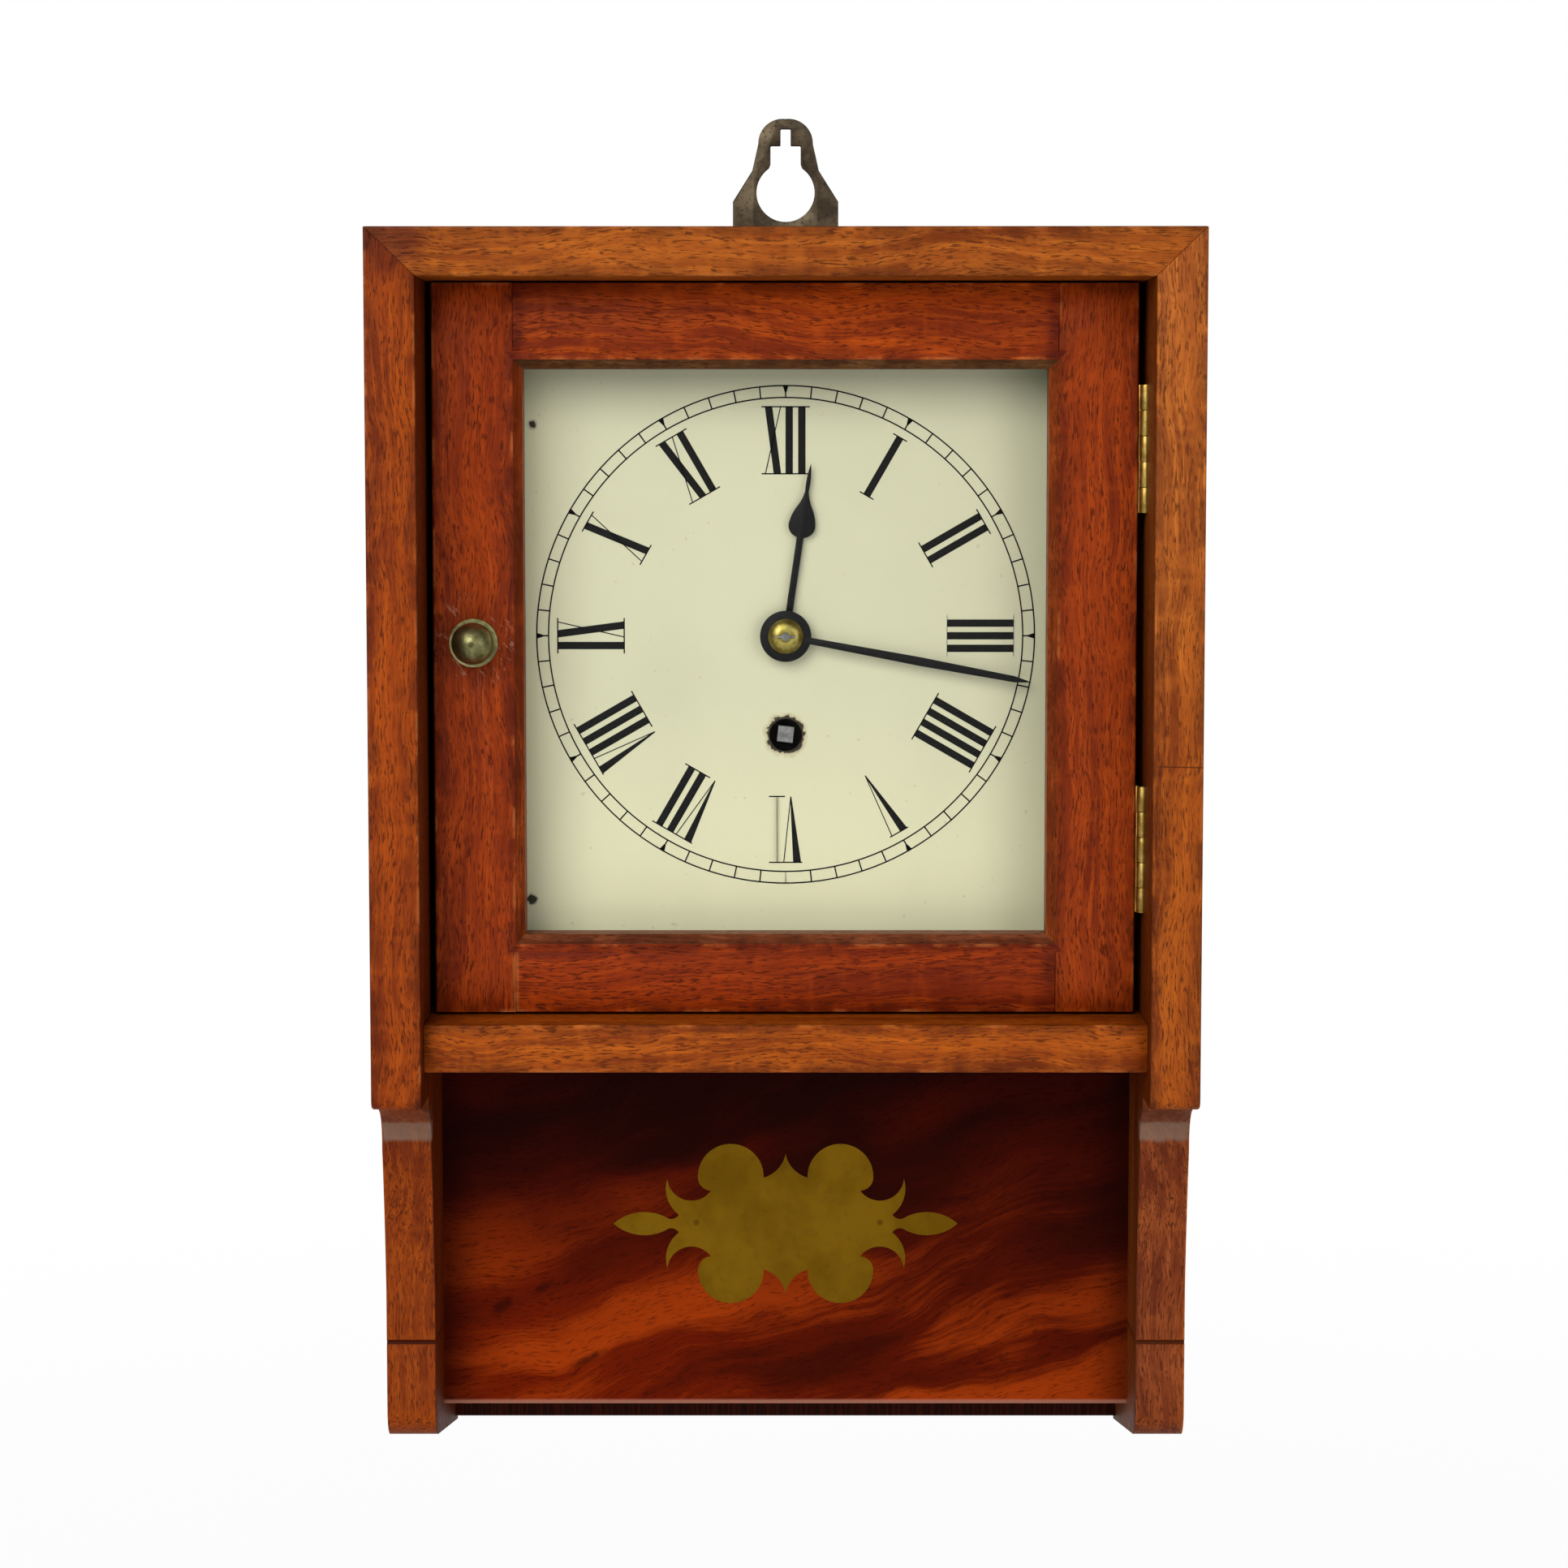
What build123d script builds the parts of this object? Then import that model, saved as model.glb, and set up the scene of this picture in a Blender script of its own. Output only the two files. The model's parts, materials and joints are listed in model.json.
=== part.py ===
from build123d import *
import os
from math import asin, atan2, cos, degrees, hypot, radians, sin, sqrt

# Drop dial wall clock. Millimetres, +Z up, +X to the right as the dial is read.
# The wall is the plane y = 0 and the clock stands out from it towards -Y.
# The origin lies on the wall straight behind the hands' arbor.
# A "depth" is a distance behind the front edges of the case boards.

# Case boards
case_width = 245.0
case_depth = 114.0
case_top = 121.0
side_thickness = 15.0
top_thickness = 14.4
board_edge_round = 0.8
backboard_thickness = 8.0
backboard_bottom = -257.0
bottom_board_top = -113.4
bottom_board_thickness = 14.3
bottom_board_setback = 6.6
side_foot = -260.0

# Shaped lower end of the side boards
nose_bottom = -138.0
nose_round = 3.0
nose_reach = 21.5
cove_start_drop = 3.5
cove_height = 13.5
cove_reach = 8.5
bracket_lean = 8.0
bracket_lean_height = 45.0
bracket_straight = 38.0
bracket_straight_height = 38.0
foot_round_height = 9.2
foot_round_reach = 8.0
cove_belly = 0.3
lean_belly = 0.62
foot_belly_in = 0.28
foot_belly_down = 0.66
groove_height = -216.5
groove_size = 1.3

# Pendulum box below the door
panel_depth = 66.0
panel_thickness = 8.0
panel_bottom = -243.0
panel_lap = 7.0
panel_arris = 1.2
floor_thickness = 7.0

# Brass inlay in the panel
inlay_height = -185.3
inlay_thickness = 1.0
inlay_half_length = 54.0

# Hanging plate
hanger_thickness = 1.5
hanger_top = 161.5
hanger_half_width = 16.8
hanger_shoulder = 135.4
hanger_waist_half_width = 10.6
hanger_waist = 145.2
hanger_neck_half_width = 8.7
hanger_neck = 153.6
hanger_cheek_in = 0.62
hanger_cheek_rise = 0.83
hanger_tail = 36.0
keyhole_height = 138.3
keyhole_radius = 9.25
keyhole_flare = 35.0
keyhole_slot_half_width = 4.8
keyhole_slot_foot = 147.1
keyhole_slot_top = 152.9
hook_slot_half_width = 1.6
hook_slot_top = 158.2
hanger_screw_radius = 1.6
hanger_screw_head_radius = 3.2
hanger_screw_head = 0.9
hanger_screw_length = 7.0
hanger_screw_spread = 10.0

# Door
door_depth = 27.0
door_thickness = 18.0
door_latch_gap = 2.0
door_hinge_gap = 2.4
door_top_gap = 0.6
door_bottom_gap = 0.9
stile_width = 24.2
top_rail_width = 22.7
bottom_rail_width = 20.7
opening_bevel = 2.6
rebate_width = 5.0
glass_setback = 12.0
glass_thickness = 2.0
glass_gap = 0.3
bead_joint = 0.1

# Knob and catch
knob_height = -1.0
knob_inset = 12.2
knob_radius = 6.25
knob_rim_radius = 7.25
knob_rim_thickness = 1.6
knob_projection = 12.0
knob_seat = 0.1
knob_neck_radius = 3.9
spindle_radius = 2.0
running_gap = 0.05
seat_gap = 0.02
catch_length = 17.5
catch_width = 6.0
catch_thickness = 1.8
catch_eye_margin = 0.8
spindle_overhang = 1.0
catch_gap = 0.3
mortise_clearance = 0.6

# Butt hinges
hinge_length = 38.1
hinge_heights = (56.8, -63.0)
hinge_axis_inset = 0.4
knuckle_radius = 1.8
knuckle_count = 5
knuckle_gap = 0.2
hinge_pin_radius = 0.9
hinge_leaf_thickness = 1.0
hinge_leaf_reach = 16.0

# Dial and its battens
dial_depth = 50.5
dial_thickness = 1.2
dial_lap = 4.7
dial_top_lap = 2.7
dial_bottom_lap = 2.2
dial_centre_hole = 3.6
winding_hole_radius = 5.0
batten_lap = 7.5
batten_thickness = 14.0
dial_screw_inset = 2.8
dial_screw_heights = (62.0, -70.0)
dial_screw_radius = 1.1
dial_screw_head_radius = 1.9
dial_screw_head = 0.9
dial_screw_length = 9.0
stop_width = 7.0
stop_clear_of_knob = 27.0

# Movement frame
dial_foot_spread = 33.0
dial_foot_heights = (44.0, -49.0)
dial_foot_radius = 2.5
dial_foot_tip_radius = 1.6
dial_foot_tip = 4.5
motion_space = 8.3
plate_thickness = 2.0
plate_half_width = 47.0
plate_top = 50.0
plate_bottom = -63.0
plate_corner = 4.0
pillar_inset = 5.0
pillar_radius = 3.6
pillar_waist_radius = 2.6
pillar_tip_radius = 2.0
pillar_tip = 3.6
pillar_collar = 3.0
pillar_hollow = 2.0
taper_pin_radius = 0.7
taper_pin_length = 9.0

# Tooth form, in modules and shares of the tooth pitch
wheel_addendum = 0.8
wheel_dedendum = 1.0
wheel_root_share = 0.62
wheel_tip_share = 0.24
leaf_addendum = 0.65
leaf_dedendum = 1.1
leaf_root_share = 0.42
leaf_tip_share = 0.20

# Going train
great_wheel_teeth = 72
great_wheel_module = 0.75
intermediate_leaves = 12
intermediate_teeth = 72
intermediate_module = 0.6
centre_leaves = 8
centre_teeth = 84
centre_module = 0.5
third_leaves = 7
third_teeth = 70
third_module = 0.5
escape_leaves = 7
escape_teeth = 32
escape_radius = 11.0
escape_tooth_height = 2.1
escape_tooth_lean = 3.2
escape_tooth_back = 1.6
escape_tip_half = 0.5
third_wheel_turn = 132.4
wheel_thickness = 1.5
great_wheel_thickness = 2.0
escape_wheel_thickness = 1.2
arm_width = 2.0
rim_width = 1.6
stout_hub_radius = 5.2
centre_hub_radius = 4.8
third_hub_radius = 4.0
escape_hub_radius = 3.2
large_wheel_arms = 5
small_wheel_arms = 4
leaf_overhang = 0.6
great_wheel_gap = 1.0
drum_gap = 2.0
intermediate_wheel_gap = 2.7
centre_wheel_gap = 2.3
third_wheel_place = 0.29
escape_wheel_place = 0.57
collet_overhang = 0.8
collet_share = 0.62
plate_clear = 0.4

# Pivot radii
centre_front_radius = 1.45
centre_tip_radius = 1.25
centre_body_radius = 1.6
centre_back_radius = 1.0
slim_pivot_radius = 0.7
slim_body_radius = 1.1
stout_pivot_radius = 1.0
stout_body_radius = 1.8
anchor_pivot_radius = 0.7
anchor_body_radius = 1.2
back_pivot_radius = 2.2
cannon_pipe_radius = 1.95
hour_pipe_radius = 2.75

# Motion work that drives the hour hand
cannon_leaves = 12
minute_wheel_teeth = 36
motion_module = 0.5
minute_leaves = 10
hour_wheel_teeth = 40
minute_wheel_turn = 135.0
motion_wheel_thickness = 1.2
minute_wheel_gap = 1.4
hour_wheel_gap = 1.2
motion_overhang = 0.3
cannon_gap = 0.6
minute_post_radius = 1.0
post_shoulder = 0.8
post_overhang = 1.0
post_gap = 0.2

# Barrel, winding arbor and clickwork
winding_drop = 30.4
drum_radius = 24.4
drum_wall = 1.0
barrel_cap_thickness = 1.3
arbor_hub_radius = 5.5
arbor_radius = 3.5
winding_square = 4.8
winding_square_turn = 7.0
square_gap = 0.1
square_recess = 2.2
mainspring_strip = 0.5
mainspring_coils = 5
spring_side_gap = 0.6
spring_coil_gap = 0.4
cap_shoulder = 0.8
ratchet_teeth = 16
ratchet_radius = 8.5
ratchet_tooth_height = 1.5
ratchet_thickness = 2.0
ratchet_undercut = 1.5
ratchet_gap = 0.6
beak_turn = 104.0
heel_turn = 96.0
heel_reach = 2.6
click_gap = 0.15
click_pivot_spread = -14.0
click_pivot_rise = 12.5
click_eye_radius = 2.7
click_screw_radius = 1.3
click_spring_spread = 9.0
click_spring_rise = 13.0
click_spring_width = 1.6
click_spring_strip = 0.6
spring_screw_radius = 1.0
spring_foot_radius = 2.4
screw_head_margin = 0.9
screw_head_height = 0.9
click_screw_gap = 0.2
click_spring_bow = 2.5

# Pendulum, its suspension and the anchor
pallet_span_teeth = 7.5
pallet_gap = 0.7
anchor_thickness = 2.4
anchor_arm_height = 2.2
anchor_crown = 3.2
pallet_toe = 8.5
pallet_thickness = 1.9
pallet_relief = 0.4
cock_height = 7.0
cock_foot_thickness = 1.6
cock_foot_margin = 1.4
cock_foot_spread = 9.0
cock_foot_rise = 3.2
cock_screw_radius = 1.2
cock_arm_half_width = 4.0
cock_lug_gap = 0.8
cock_lug_thickness = 1.6
cock_lug_drop = 2.6
pendulum_length = 218.0
pendulum_room = 8.0
pendulum_stand_off = 6.0
suspension_width = 4.0
suspension_thickness = 0.15
suspension_slit = 0.6
suspension_grip = 3.0
suspension_free = 7.0
rod_radius = 1.2
bob_radius = 21.0
bob_thickness = 11.0
bob_edge = 2.4
bob_bore_gap = 0.05
rating_nut_radius = 4.0
rating_nut_height = 3.0
rating_nut_sides = 12
nut_gap = 0.3
rod_end = 5.0
rod_clip_height = 5.0
suspension_side_gap = 0.4
fork_gap = 0.3
crutch_length = 30.0
crutch_wire = 1.2
crutch_gap = 0.6
crutch_collar_radius = 3.0

# Hands
hour_hand_reach = 53.0
minute_hand_reach = 76.4
hand_thickness = 0.7
hour_hand_gap = 1.4
hand_spacing = 1.5
hand_seat = 0.1
minute_boss_radius = 7.8
hour_boss_radius = 6.6
spade_half_width = 4.1
minute_half_width = 1.35
collet_radius = 5.3
collet_height = 2.5
collet_rim = 0.5
arbor_tip_reach = 1.4
hand_pin_radius = 0.4
hand_pin_length = 6.0
hour_now = 12
minutes_now = 16.77

# Places worked out from the sizes above
inside_half = case_width / 2 - side_thickness
top_underside = case_top - top_thickness
backboard_depth = case_depth - backboard_thickness
door_left = -inside_half + door_latch_gap
opening_half_width = -door_left - stile_width
dial_half_width = opening_half_width + dial_lap
door_right = inside_half - door_hinge_gap
door_top = top_underside - door_top_gap
door_bottom = bottom_board_top + door_bottom_gap
opening_top = door_top - top_rail_width
opening_bottom = door_bottom + bottom_rail_width
dial_top = opening_top + dial_top_lap
dial_bottom = opening_bottom - dial_bottom_lap
door_back = door_depth + door_thickness
glass_depth = door_depth + glass_setback
bead_depth = glass_depth + glass_thickness
hinge_x = inside_half - hinge_axis_inset
hinge_depth = door_depth - knuckle_radius - knuckle_gap
knob_x = door_left + knob_inset
dial_back = dial_depth + dial_thickness
front_plate_depth = dial_back + motion_space
train_front = front_plate_depth + plate_thickness
pendulum_depth = backboard_depth - pendulum_room
movement_back = pendulum_depth - pendulum_stand_off
train_back = movement_back - plate_thickness
plate_spacing = train_back - train_front


def facing(depth, centre=(0, 0), turn=0):
    # upright plane at a depth, seen from the front, turned clockwise about its centre
    across = (cos(radians(turn)), 0, -sin(radians(turn)))
    return Plane(origin=(centre[0], depth - case_depth, centre[1]), x_dir=across, z_dir=(0, -1, 0))


def y_at(depth):
    return depth - case_depth


def lathe(centre):
    # radius along the first axis, depth along the second
    return Plane(origin=(centre[0], -case_depth, centre[1]), x_dir=(1, 0, 0), z_dir=(0, 0, 1))


def arbor_axis(centre):
    return Axis((centre[0], 0, centre[1]), (0, 1, 0))


def polar(centre, radius, angle):
    turn = radians(angle)
    return (centre[0] + radius * cos(turn), centre[1] + radius * sin(turn))


def direction(start, end):
    return degrees(atan2(end[1] - start[1], end[0] - start[0]))


def third_corner(first, first_reach, second, second_reach, side):
    # the point at the two given reaches, left (1) or right (-1) of the way from first to second
    apart = hypot(second[0] - first[0], second[1] - first[1])
    along = (apart**2 + first_reach**2 - second_reach**2) / (2 * apart)
    across = side * sqrt(first_reach**2 - along**2)
    unit = ((second[0] - first[0]) / apart, (second[1] - first[1]) / apart)
    return (first[0] + along * unit[0] - across * unit[1], first[1] + along * unit[1] + across * unit[0])


def pitch_radius(teeth, module):
    return teeth * module / 2


def disc(centre, radius, depth):
    with BuildSketch(facing(depth)) as drawn:
        with Locations(centre):
            Circle(radius)
    return drawn.sketch


def turned(centre, *steps, mode=Mode.ADD):
    for radius, start, end in steps:
        extrude(disc(centre, radius, start), amount=start - end, mode=mode)


def block(left, right, bottom, top, start, end, mode=Mode.ADD):
    with BuildSketch(facing(start)) as drawn:
        with Locations(((left + right) / 2, (bottom + top) / 2)):
            Rectangle(right - left, top - bottom)
    extrude(drawn.sketch, amount=start - end, mode=mode)


def sheet(points, start, end, mode=Mode.ADD):
    with BuildSketch(facing(start)) as drawn:
        with BuildLine():
            Polyline(*points, close=True)
        make_face()
    extrude(drawn.sketch, amount=start - end, mode=mode)


def spun(centre, points):
    with BuildSketch(lathe(centre)) as drawn:
        with BuildLine():
            Polyline(*points, close=True)
        make_face()
    revolve(drawn.sketch, axis=arbor_axis(centre))


def teeth(centre, count, root, tip, root_share, tip_share, first):
    points = []
    for number in range(count):
        middle = first + 360 * number / count
        for radius, share in ((root, -root_share), (tip, -tip_share), (tip, tip_share), (root, root_share)):
            points.append(polar(centre, radius, middle + share * 180 / count))
    return points


def root_radius(count, module):
    return pitch_radius(count, module) - wheel_dedendum * module


def wheel_teeth(centre, count, module, first):
    root = root_radius(count, module)
    tip = pitch_radius(count, module) + wheel_addendum * module
    return teeth(centre, count, root, tip, wheel_root_share, wheel_tip_share, first)


def pinion_leaves(centre, count, module, first):
    pitch = pitch_radius(count, module)
    root = pitch - leaf_dedendum * module
    tip = pitch + leaf_addendum * module
    return teeth(centre, count, root, tip, leaf_root_share, leaf_tip_share, first)


def leaf_span(wheel_start, thickness):
    return (wheel_start - leaf_overhang, wheel_start + thickness + leaf_overhang)


def gap_facing(angle, count):
    # the first leaf's angle that turns a gap towards the wheel that lies that way
    return angle + 180 / count


def crossings(centre, hub, rim, arms, start, end):
    # windows between the arms of a wheel
    with BuildSketch(facing(start)) as drawn:
        with Locations(centre):
            Circle(rim)
            Circle(hub, mode=Mode.SUBTRACT)
            with PolarLocations(0, arms):
                with Locations((rim / 2 + hub / 2, 0)):
                    Rectangle(2 * rim - hub, arm_width, mode=Mode.SUBTRACT)
    extrude(drawn.sketch, amount=start - end, mode=Mode.SUBTRACT)


def keep(part, name):
    part.label = name
    export_step(part, f"parts/{name}.step")


os.makedirs("parts", exist_ok=True)


# Side boards, each one piece from the mitred top down to the foot of the bracket
def side_outline(x):
    cove_top = nose_bottom - cove_start_drop
    cove_foot = cove_top - cove_height
    cove_back = nose_reach + cove_reach
    lean_foot = cove_foot - bracket_lean_height
    foot_start = lean_foot - bracket_straight_height
    with BuildSketch(Plane.YZ.offset(x)) as drawn:
        with BuildLine():
            Line((y_at(case_depth), side_foot), (y_at(case_depth), case_top))
            Line((y_at(case_depth), case_top), (y_at(0), case_top))
            Line((y_at(0), case_top), (y_at(0), nose_bottom + nose_round))
            nose = (y_at(nose_round), nose_bottom)
            RadiusArc((y_at(0), nose_bottom + nose_round), nose, -nose_round)
            Line(nose, (y_at(nose_reach), nose_bottom))
            Line((y_at(nose_reach), nose_bottom), (y_at(nose_reach), cove_top))
            hollow = (y_at(cove_back - cove_belly * cove_reach), cove_top - cove_belly * cove_height)
            ThreePointArc((y_at(nose_reach), cove_top), hollow, (y_at(cove_back), cove_foot))
            lean = (y_at(cove_back + lean_belly * bracket_lean), cove_foot - bracket_lean_height / 2)
            lean_end = (y_at(bracket_straight), lean_foot)
            ThreePointArc((y_at(cove_back), cove_foot), lean, lean_end)
            Line(lean_end, (y_at(bracket_straight), foot_start))
            round_end = (y_at(bracket_straight + foot_round_reach), foot_start - foot_round_height)
            belly_depth = bracket_straight + foot_belly_in * foot_round_reach
            round_mid = (y_at(belly_depth), foot_start - foot_belly_down * foot_round_height)
            ThreePointArc((y_at(bracket_straight), foot_start), round_mid, round_end)
            Line(round_end, (y_at(case_depth), side_foot))
        make_face()
    return drawn.sketch


def mitre(side):
    outer = side * case_width / 2
    inner = side * inside_half
    sheet([(outer, case_top), (inner, top_underside), (inner, case_top)], 0, case_depth, Mode.SUBTRACT)


def scored_line(x):
    # V groove round the front of the bracket
    with BuildSketch(Plane.YZ.offset(x)) as drawn:
        with Locations((y_at(bracket_straight), groove_height)):
            Rectangle(groove_size, groove_size, rotation=45)
    extrude(drawn.sketch, amount=side_thickness, mode=Mode.SUBTRACT)


def soften_front(part):
    front = part.edges().filter_by(Axis.Z).group_by(Axis.Y)[0]
    fillet(front, board_edge_round)


catch_depth = door_back + catch_gap
catch_reach = knob_x + inside_half
catch_entry = sqrt(catch_length**2 - catch_reach**2)
mortise_depth = catch_length - catch_reach + mortise_clearance
with BuildPart() as left_side_board:
    extrude(side_outline(-case_width / 2), amount=side_thickness)
    mitre(-1)
    scored_line(-case_width / 2)
    soften_front(left_side_board)
    # mortise that the catch turns into
    block(
        -inside_half - mortise_depth,
        -inside_half,
        knob_height - catch_entry - catch_width / 2,
        knob_height + catch_width / 2 + mortise_clearance,
        catch_depth - mortise_clearance,
        catch_depth + catch_thickness + mortise_clearance,
        Mode.SUBTRACT,
    )
keep(left_side_board.part, "left_side_board")

knuckle_room = hinge_x + knuckle_radius + knuckle_gap
leaf_front = hinge_depth + knuckle_radius + knuckle_gap
leaf_back = hinge_depth + hinge_leaf_reach
with BuildPart() as right_side_board:
    extrude(side_outline(inside_half), amount=side_thickness)
    mitre(1)
    scored_line(inside_half)
    soften_front(right_side_board)
    for height in hinge_heights:
        low = height - hinge_length / 2
        high = height + hinge_length / 2
        knuckle_front = hinge_depth - knuckle_radius - knuckle_gap
        block(inside_half, knuckle_room, low, high, knuckle_front, leaf_front, Mode.SUBTRACT)
        gain = inside_half + hinge_leaf_thickness
        block(inside_half, gain, low, high, leaf_front, leaf_back, Mode.SUBTRACT)
keep(right_side_board.part, "right_side_board")

# Top board, mitred into the sides, with room for the hanging plate behind
outer_half = case_width / 2
recess_bottom = case_top - hanger_tail
with BuildPart() as top_board:
    sheet(
        [
            (-outer_half, case_top),
            (outer_half, case_top),
            (inside_half, top_underside),
            (-inside_half, top_underside),
        ],
        0,
        case_depth,
    )
    fillet(top_board.edges().filter_by(Axis.X).group_by(Axis.Y)[0], board_edge_round)
    block(
        -hanger_half_width,
        hanger_half_width,
        top_underside,
        case_top,
        case_depth - hanger_thickness,
        case_depth,
        Mode.SUBTRACT,
    )
keep(top_board.part, "top_board")

with BuildPart() as bottom_board:
    block(
        -inside_half,
        inside_half,
        bottom_board_top - bottom_board_thickness,
        bottom_board_top,
        bottom_board_setback,
        panel_depth,
    )
    fillet(bottom_board.edges().filter_by(Axis.X).group_by(Axis.Y)[0], board_edge_round)
keep(bottom_board.part, "bottom_board")

hanger_screws_at = [
    (-hanger_screw_spread, top_underside - hanger_screw_spread / 2),
    (hanger_screw_spread, top_underside - hanger_screw_spread / 2),
    (0, recess_bottom + hanger_screw_spread / 2),
]
with BuildPart() as backboard:
    block(-inside_half, inside_half, backboard_bottom, top_underside, backboard_depth, case_depth)
    block(
        -hanger_half_width,
        hanger_half_width,
        recess_bottom,
        top_underside,
        case_depth - hanger_thickness,
        case_depth,
        Mode.SUBTRACT,
    )
    for place in hanger_screws_at:
        screw_end = case_depth - hanger_screw_length
        turned(place, (hanger_screw_radius, screw_end, case_depth), mode=Mode.SUBTRACT)
keep(backboard.part, "backboard")

# Hanging plate with its keyhole, let in flush with the back
with BuildPart() as hanger_plate:
    with BuildSketch(facing(case_depth - hanger_thickness)):
        with BuildLine():
            Line((0, recess_bottom), (hanger_half_width, recess_bottom))
            Line((hanger_half_width, recess_bottom), (hanger_half_width, hanger_shoulder))
            Line((hanger_half_width, hanger_shoulder), (hanger_waist_half_width, hanger_waist))
            Line((hanger_waist_half_width, hanger_waist), (hanger_neck_half_width, hanger_neck))
            crown_rise = hanger_cheek_rise * (hanger_top - hanger_neck)
            cheek = (hanger_cheek_in * hanger_neck_half_width, hanger_neck + crown_rise)
            ThreePointArc((hanger_neck_half_width, hanger_neck), cheek, (0, hanger_top))
            mirror(about=Plane.YZ)
        make_face()
        with Locations((0, keyhole_height)):
            Circle(keyhole_radius, mode=Mode.SUBTRACT)
        with BuildLine():
            flare = radians(keyhole_flare)
            flare_foot = (keyhole_radius * sin(flare), keyhole_height + keyhole_radius * cos(flare))
            Polyline(
                (0, keyhole_height),
                flare_foot,
                (keyhole_slot_half_width, keyhole_slot_foot),
                (keyhole_slot_half_width, keyhole_slot_top),
                (hook_slot_half_width, keyhole_slot_top),
                (hook_slot_half_width, hook_slot_top),
                (0, hook_slot_top),
            )
            mirror(about=Plane.YZ)
        make_face(mode=Mode.SUBTRACT)
    extrude(amount=-hanger_thickness)
    for place in hanger_screws_at:
        plate_front = case_depth - hanger_thickness
        head_start = case_depth - hanger_screw_head
        turned(place, (hanger_screw_radius, plate_front, case_depth), mode=Mode.SUBTRACT)
        turned(place, (hanger_screw_head_radius, head_start, case_depth), mode=Mode.SUBTRACT)
keep(hanger_plate.part, "hanger_plate")

with BuildPart() as hanger_screws:
    for place in hanger_screws_at:
        turned(
            place,
            (hanger_screw_radius, case_depth - hanger_screw_length, case_depth - hanger_screw_head),
            (hanger_screw_head_radius, case_depth - hanger_screw_head, case_depth),
        )
keep(hanger_screws.part, "hanger_screws")


# Traditional cut brass ornament: a leaf tip, two horns and two lobes on each half
def ornament_quarter():
    def at(across, up):
        return (across * inlay_half_length, up * inlay_half_length)

    ThreePointArc(at(0, 0.41), at(0.041, 0.326), at(0.128, 0.27))
    ThreePointArc(at(0.128, 0.27), at(0.324, 0.469), at(0.509, 0.28))
    ThreePointArc(at(0.509, 0.28), at(0.488, 0.219), at(0.433, 0.194))
    ThreePointArc(at(0.433, 0.194), at(0.546, 0.135), at(0.687, 0.263))
    ThreePointArc(at(0.687, 0.263), at(0.689, 0.155), at(0.62, 0.052))
    ThreePointArc(at(0.62, 0.052), at(0.645, 0.031), at(0.678, 0.028))
    ThreePointArc(at(0.678, 0.028), at(0.806, 0.068), at(1, 0))


with BuildSketch(facing(panel_depth, (0, inlay_height))) as ornament:
    with BuildLine():
        ornament_quarter()
        mirror(about=Plane.YZ)
        mirror(about=Plane.XZ)
    make_face()

with BuildPart() as brass_inlay:
    extrude(ornament.sketch, amount=-inlay_thickness)
keep(brass_inlay.part, "brass_inlay")

panel_top = bottom_board_top + panel_lap
with BuildPart() as box_panel:
    block(-inside_half, inside_half, panel_bottom, panel_top, panel_depth, panel_depth + panel_thickness)
    lower_arris = box_panel.edges().filter_by(Axis.X).group_by(Axis.Z)[0].group_by(Axis.Y)[0]
    chamfer(lower_arris, panel_arris)
    extrude(ornament.sketch, amount=-inlay_thickness, mode=Mode.SUBTRACT)
keep(box_panel.part, "box_panel")

panel_back = panel_depth + panel_thickness
with BuildPart() as box_floor:
    floor_top = panel_bottom + floor_thickness
    block(-inside_half, inside_half, panel_bottom, floor_top, panel_back, backboard_depth)
keep(box_floor.part, "box_floor")

# Battens that carry the dial; the left one also stops the door
batten_inner = dial_half_width - batten_lap
screw_x = dial_half_width - dial_screw_inset
dial_screws_at = [(side * screw_x, height) for side in (-1, 1) for height in dial_screw_heights]
with BuildPart() as dial_battens:
    for side in (-1, 1):
        edges = sorted((side * batten_inner, side * inside_half))
        block(*edges, bottom_board_top, top_underside, dial_back, dial_back + batten_thickness)
    stop_front = door_back + catch_gap
    stop_left = -inside_half
    stop_right = stop_left + stop_width
    for low, high in (
        (bottom_board_top, knob_height - stop_clear_of_knob),
        (knob_height + stop_clear_of_knob, top_underside),
    ):
        block(stop_left, stop_right, low, high, stop_front, dial_back)
    for place in dial_screws_at:
        screw_end = dial_depth + dial_screw_length
        turned(place, (dial_screw_radius, dial_back, screw_end), mode=Mode.SUBTRACT)
keep(dial_battens.part, "dial_battens")

# Movement layout: every arbor's place follows from tooth counts and modules
centre_at = (0.0, 0.0)
barrel_at = (0.0, -winding_drop)
barrel_mesh = pitch_radius(great_wheel_teeth + intermediate_leaves, great_wheel_module)
intermediate_mesh = pitch_radius(intermediate_teeth + centre_leaves, intermediate_module)
third_mesh = pitch_radius(centre_teeth + third_leaves, centre_module)
escape_mesh = pitch_radius(third_teeth + escape_leaves, third_module)
intermediate_at = third_corner(barrel_at, barrel_mesh, centre_at, intermediate_mesh, -1)
third_at = polar(centre_at, third_mesh, third_wheel_turn)
escape_rise = third_at[1] + sqrt(escape_mesh**2 - third_at[0] ** 2)
escape_at = (0.0, escape_rise)
pallet_angle = pallet_span_teeth / 2 * 360 / escape_teeth
anchor_at = (0.0, escape_rise + escape_radius / cos(radians(pallet_angle)))
minute_mesh = pitch_radius(cannon_leaves + minute_wheel_teeth, motion_module)
minute_post_at = polar(centre_at, minute_mesh, minute_wheel_turn)
hour_module = 2 * minute_mesh / (minute_leaves + hour_wheel_teeth)
click_at = (click_pivot_spread, barrel_at[1] + click_pivot_rise)
spring_foot_at = (click_at[0] - click_spring_spread, click_at[1] + click_spring_rise)

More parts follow.
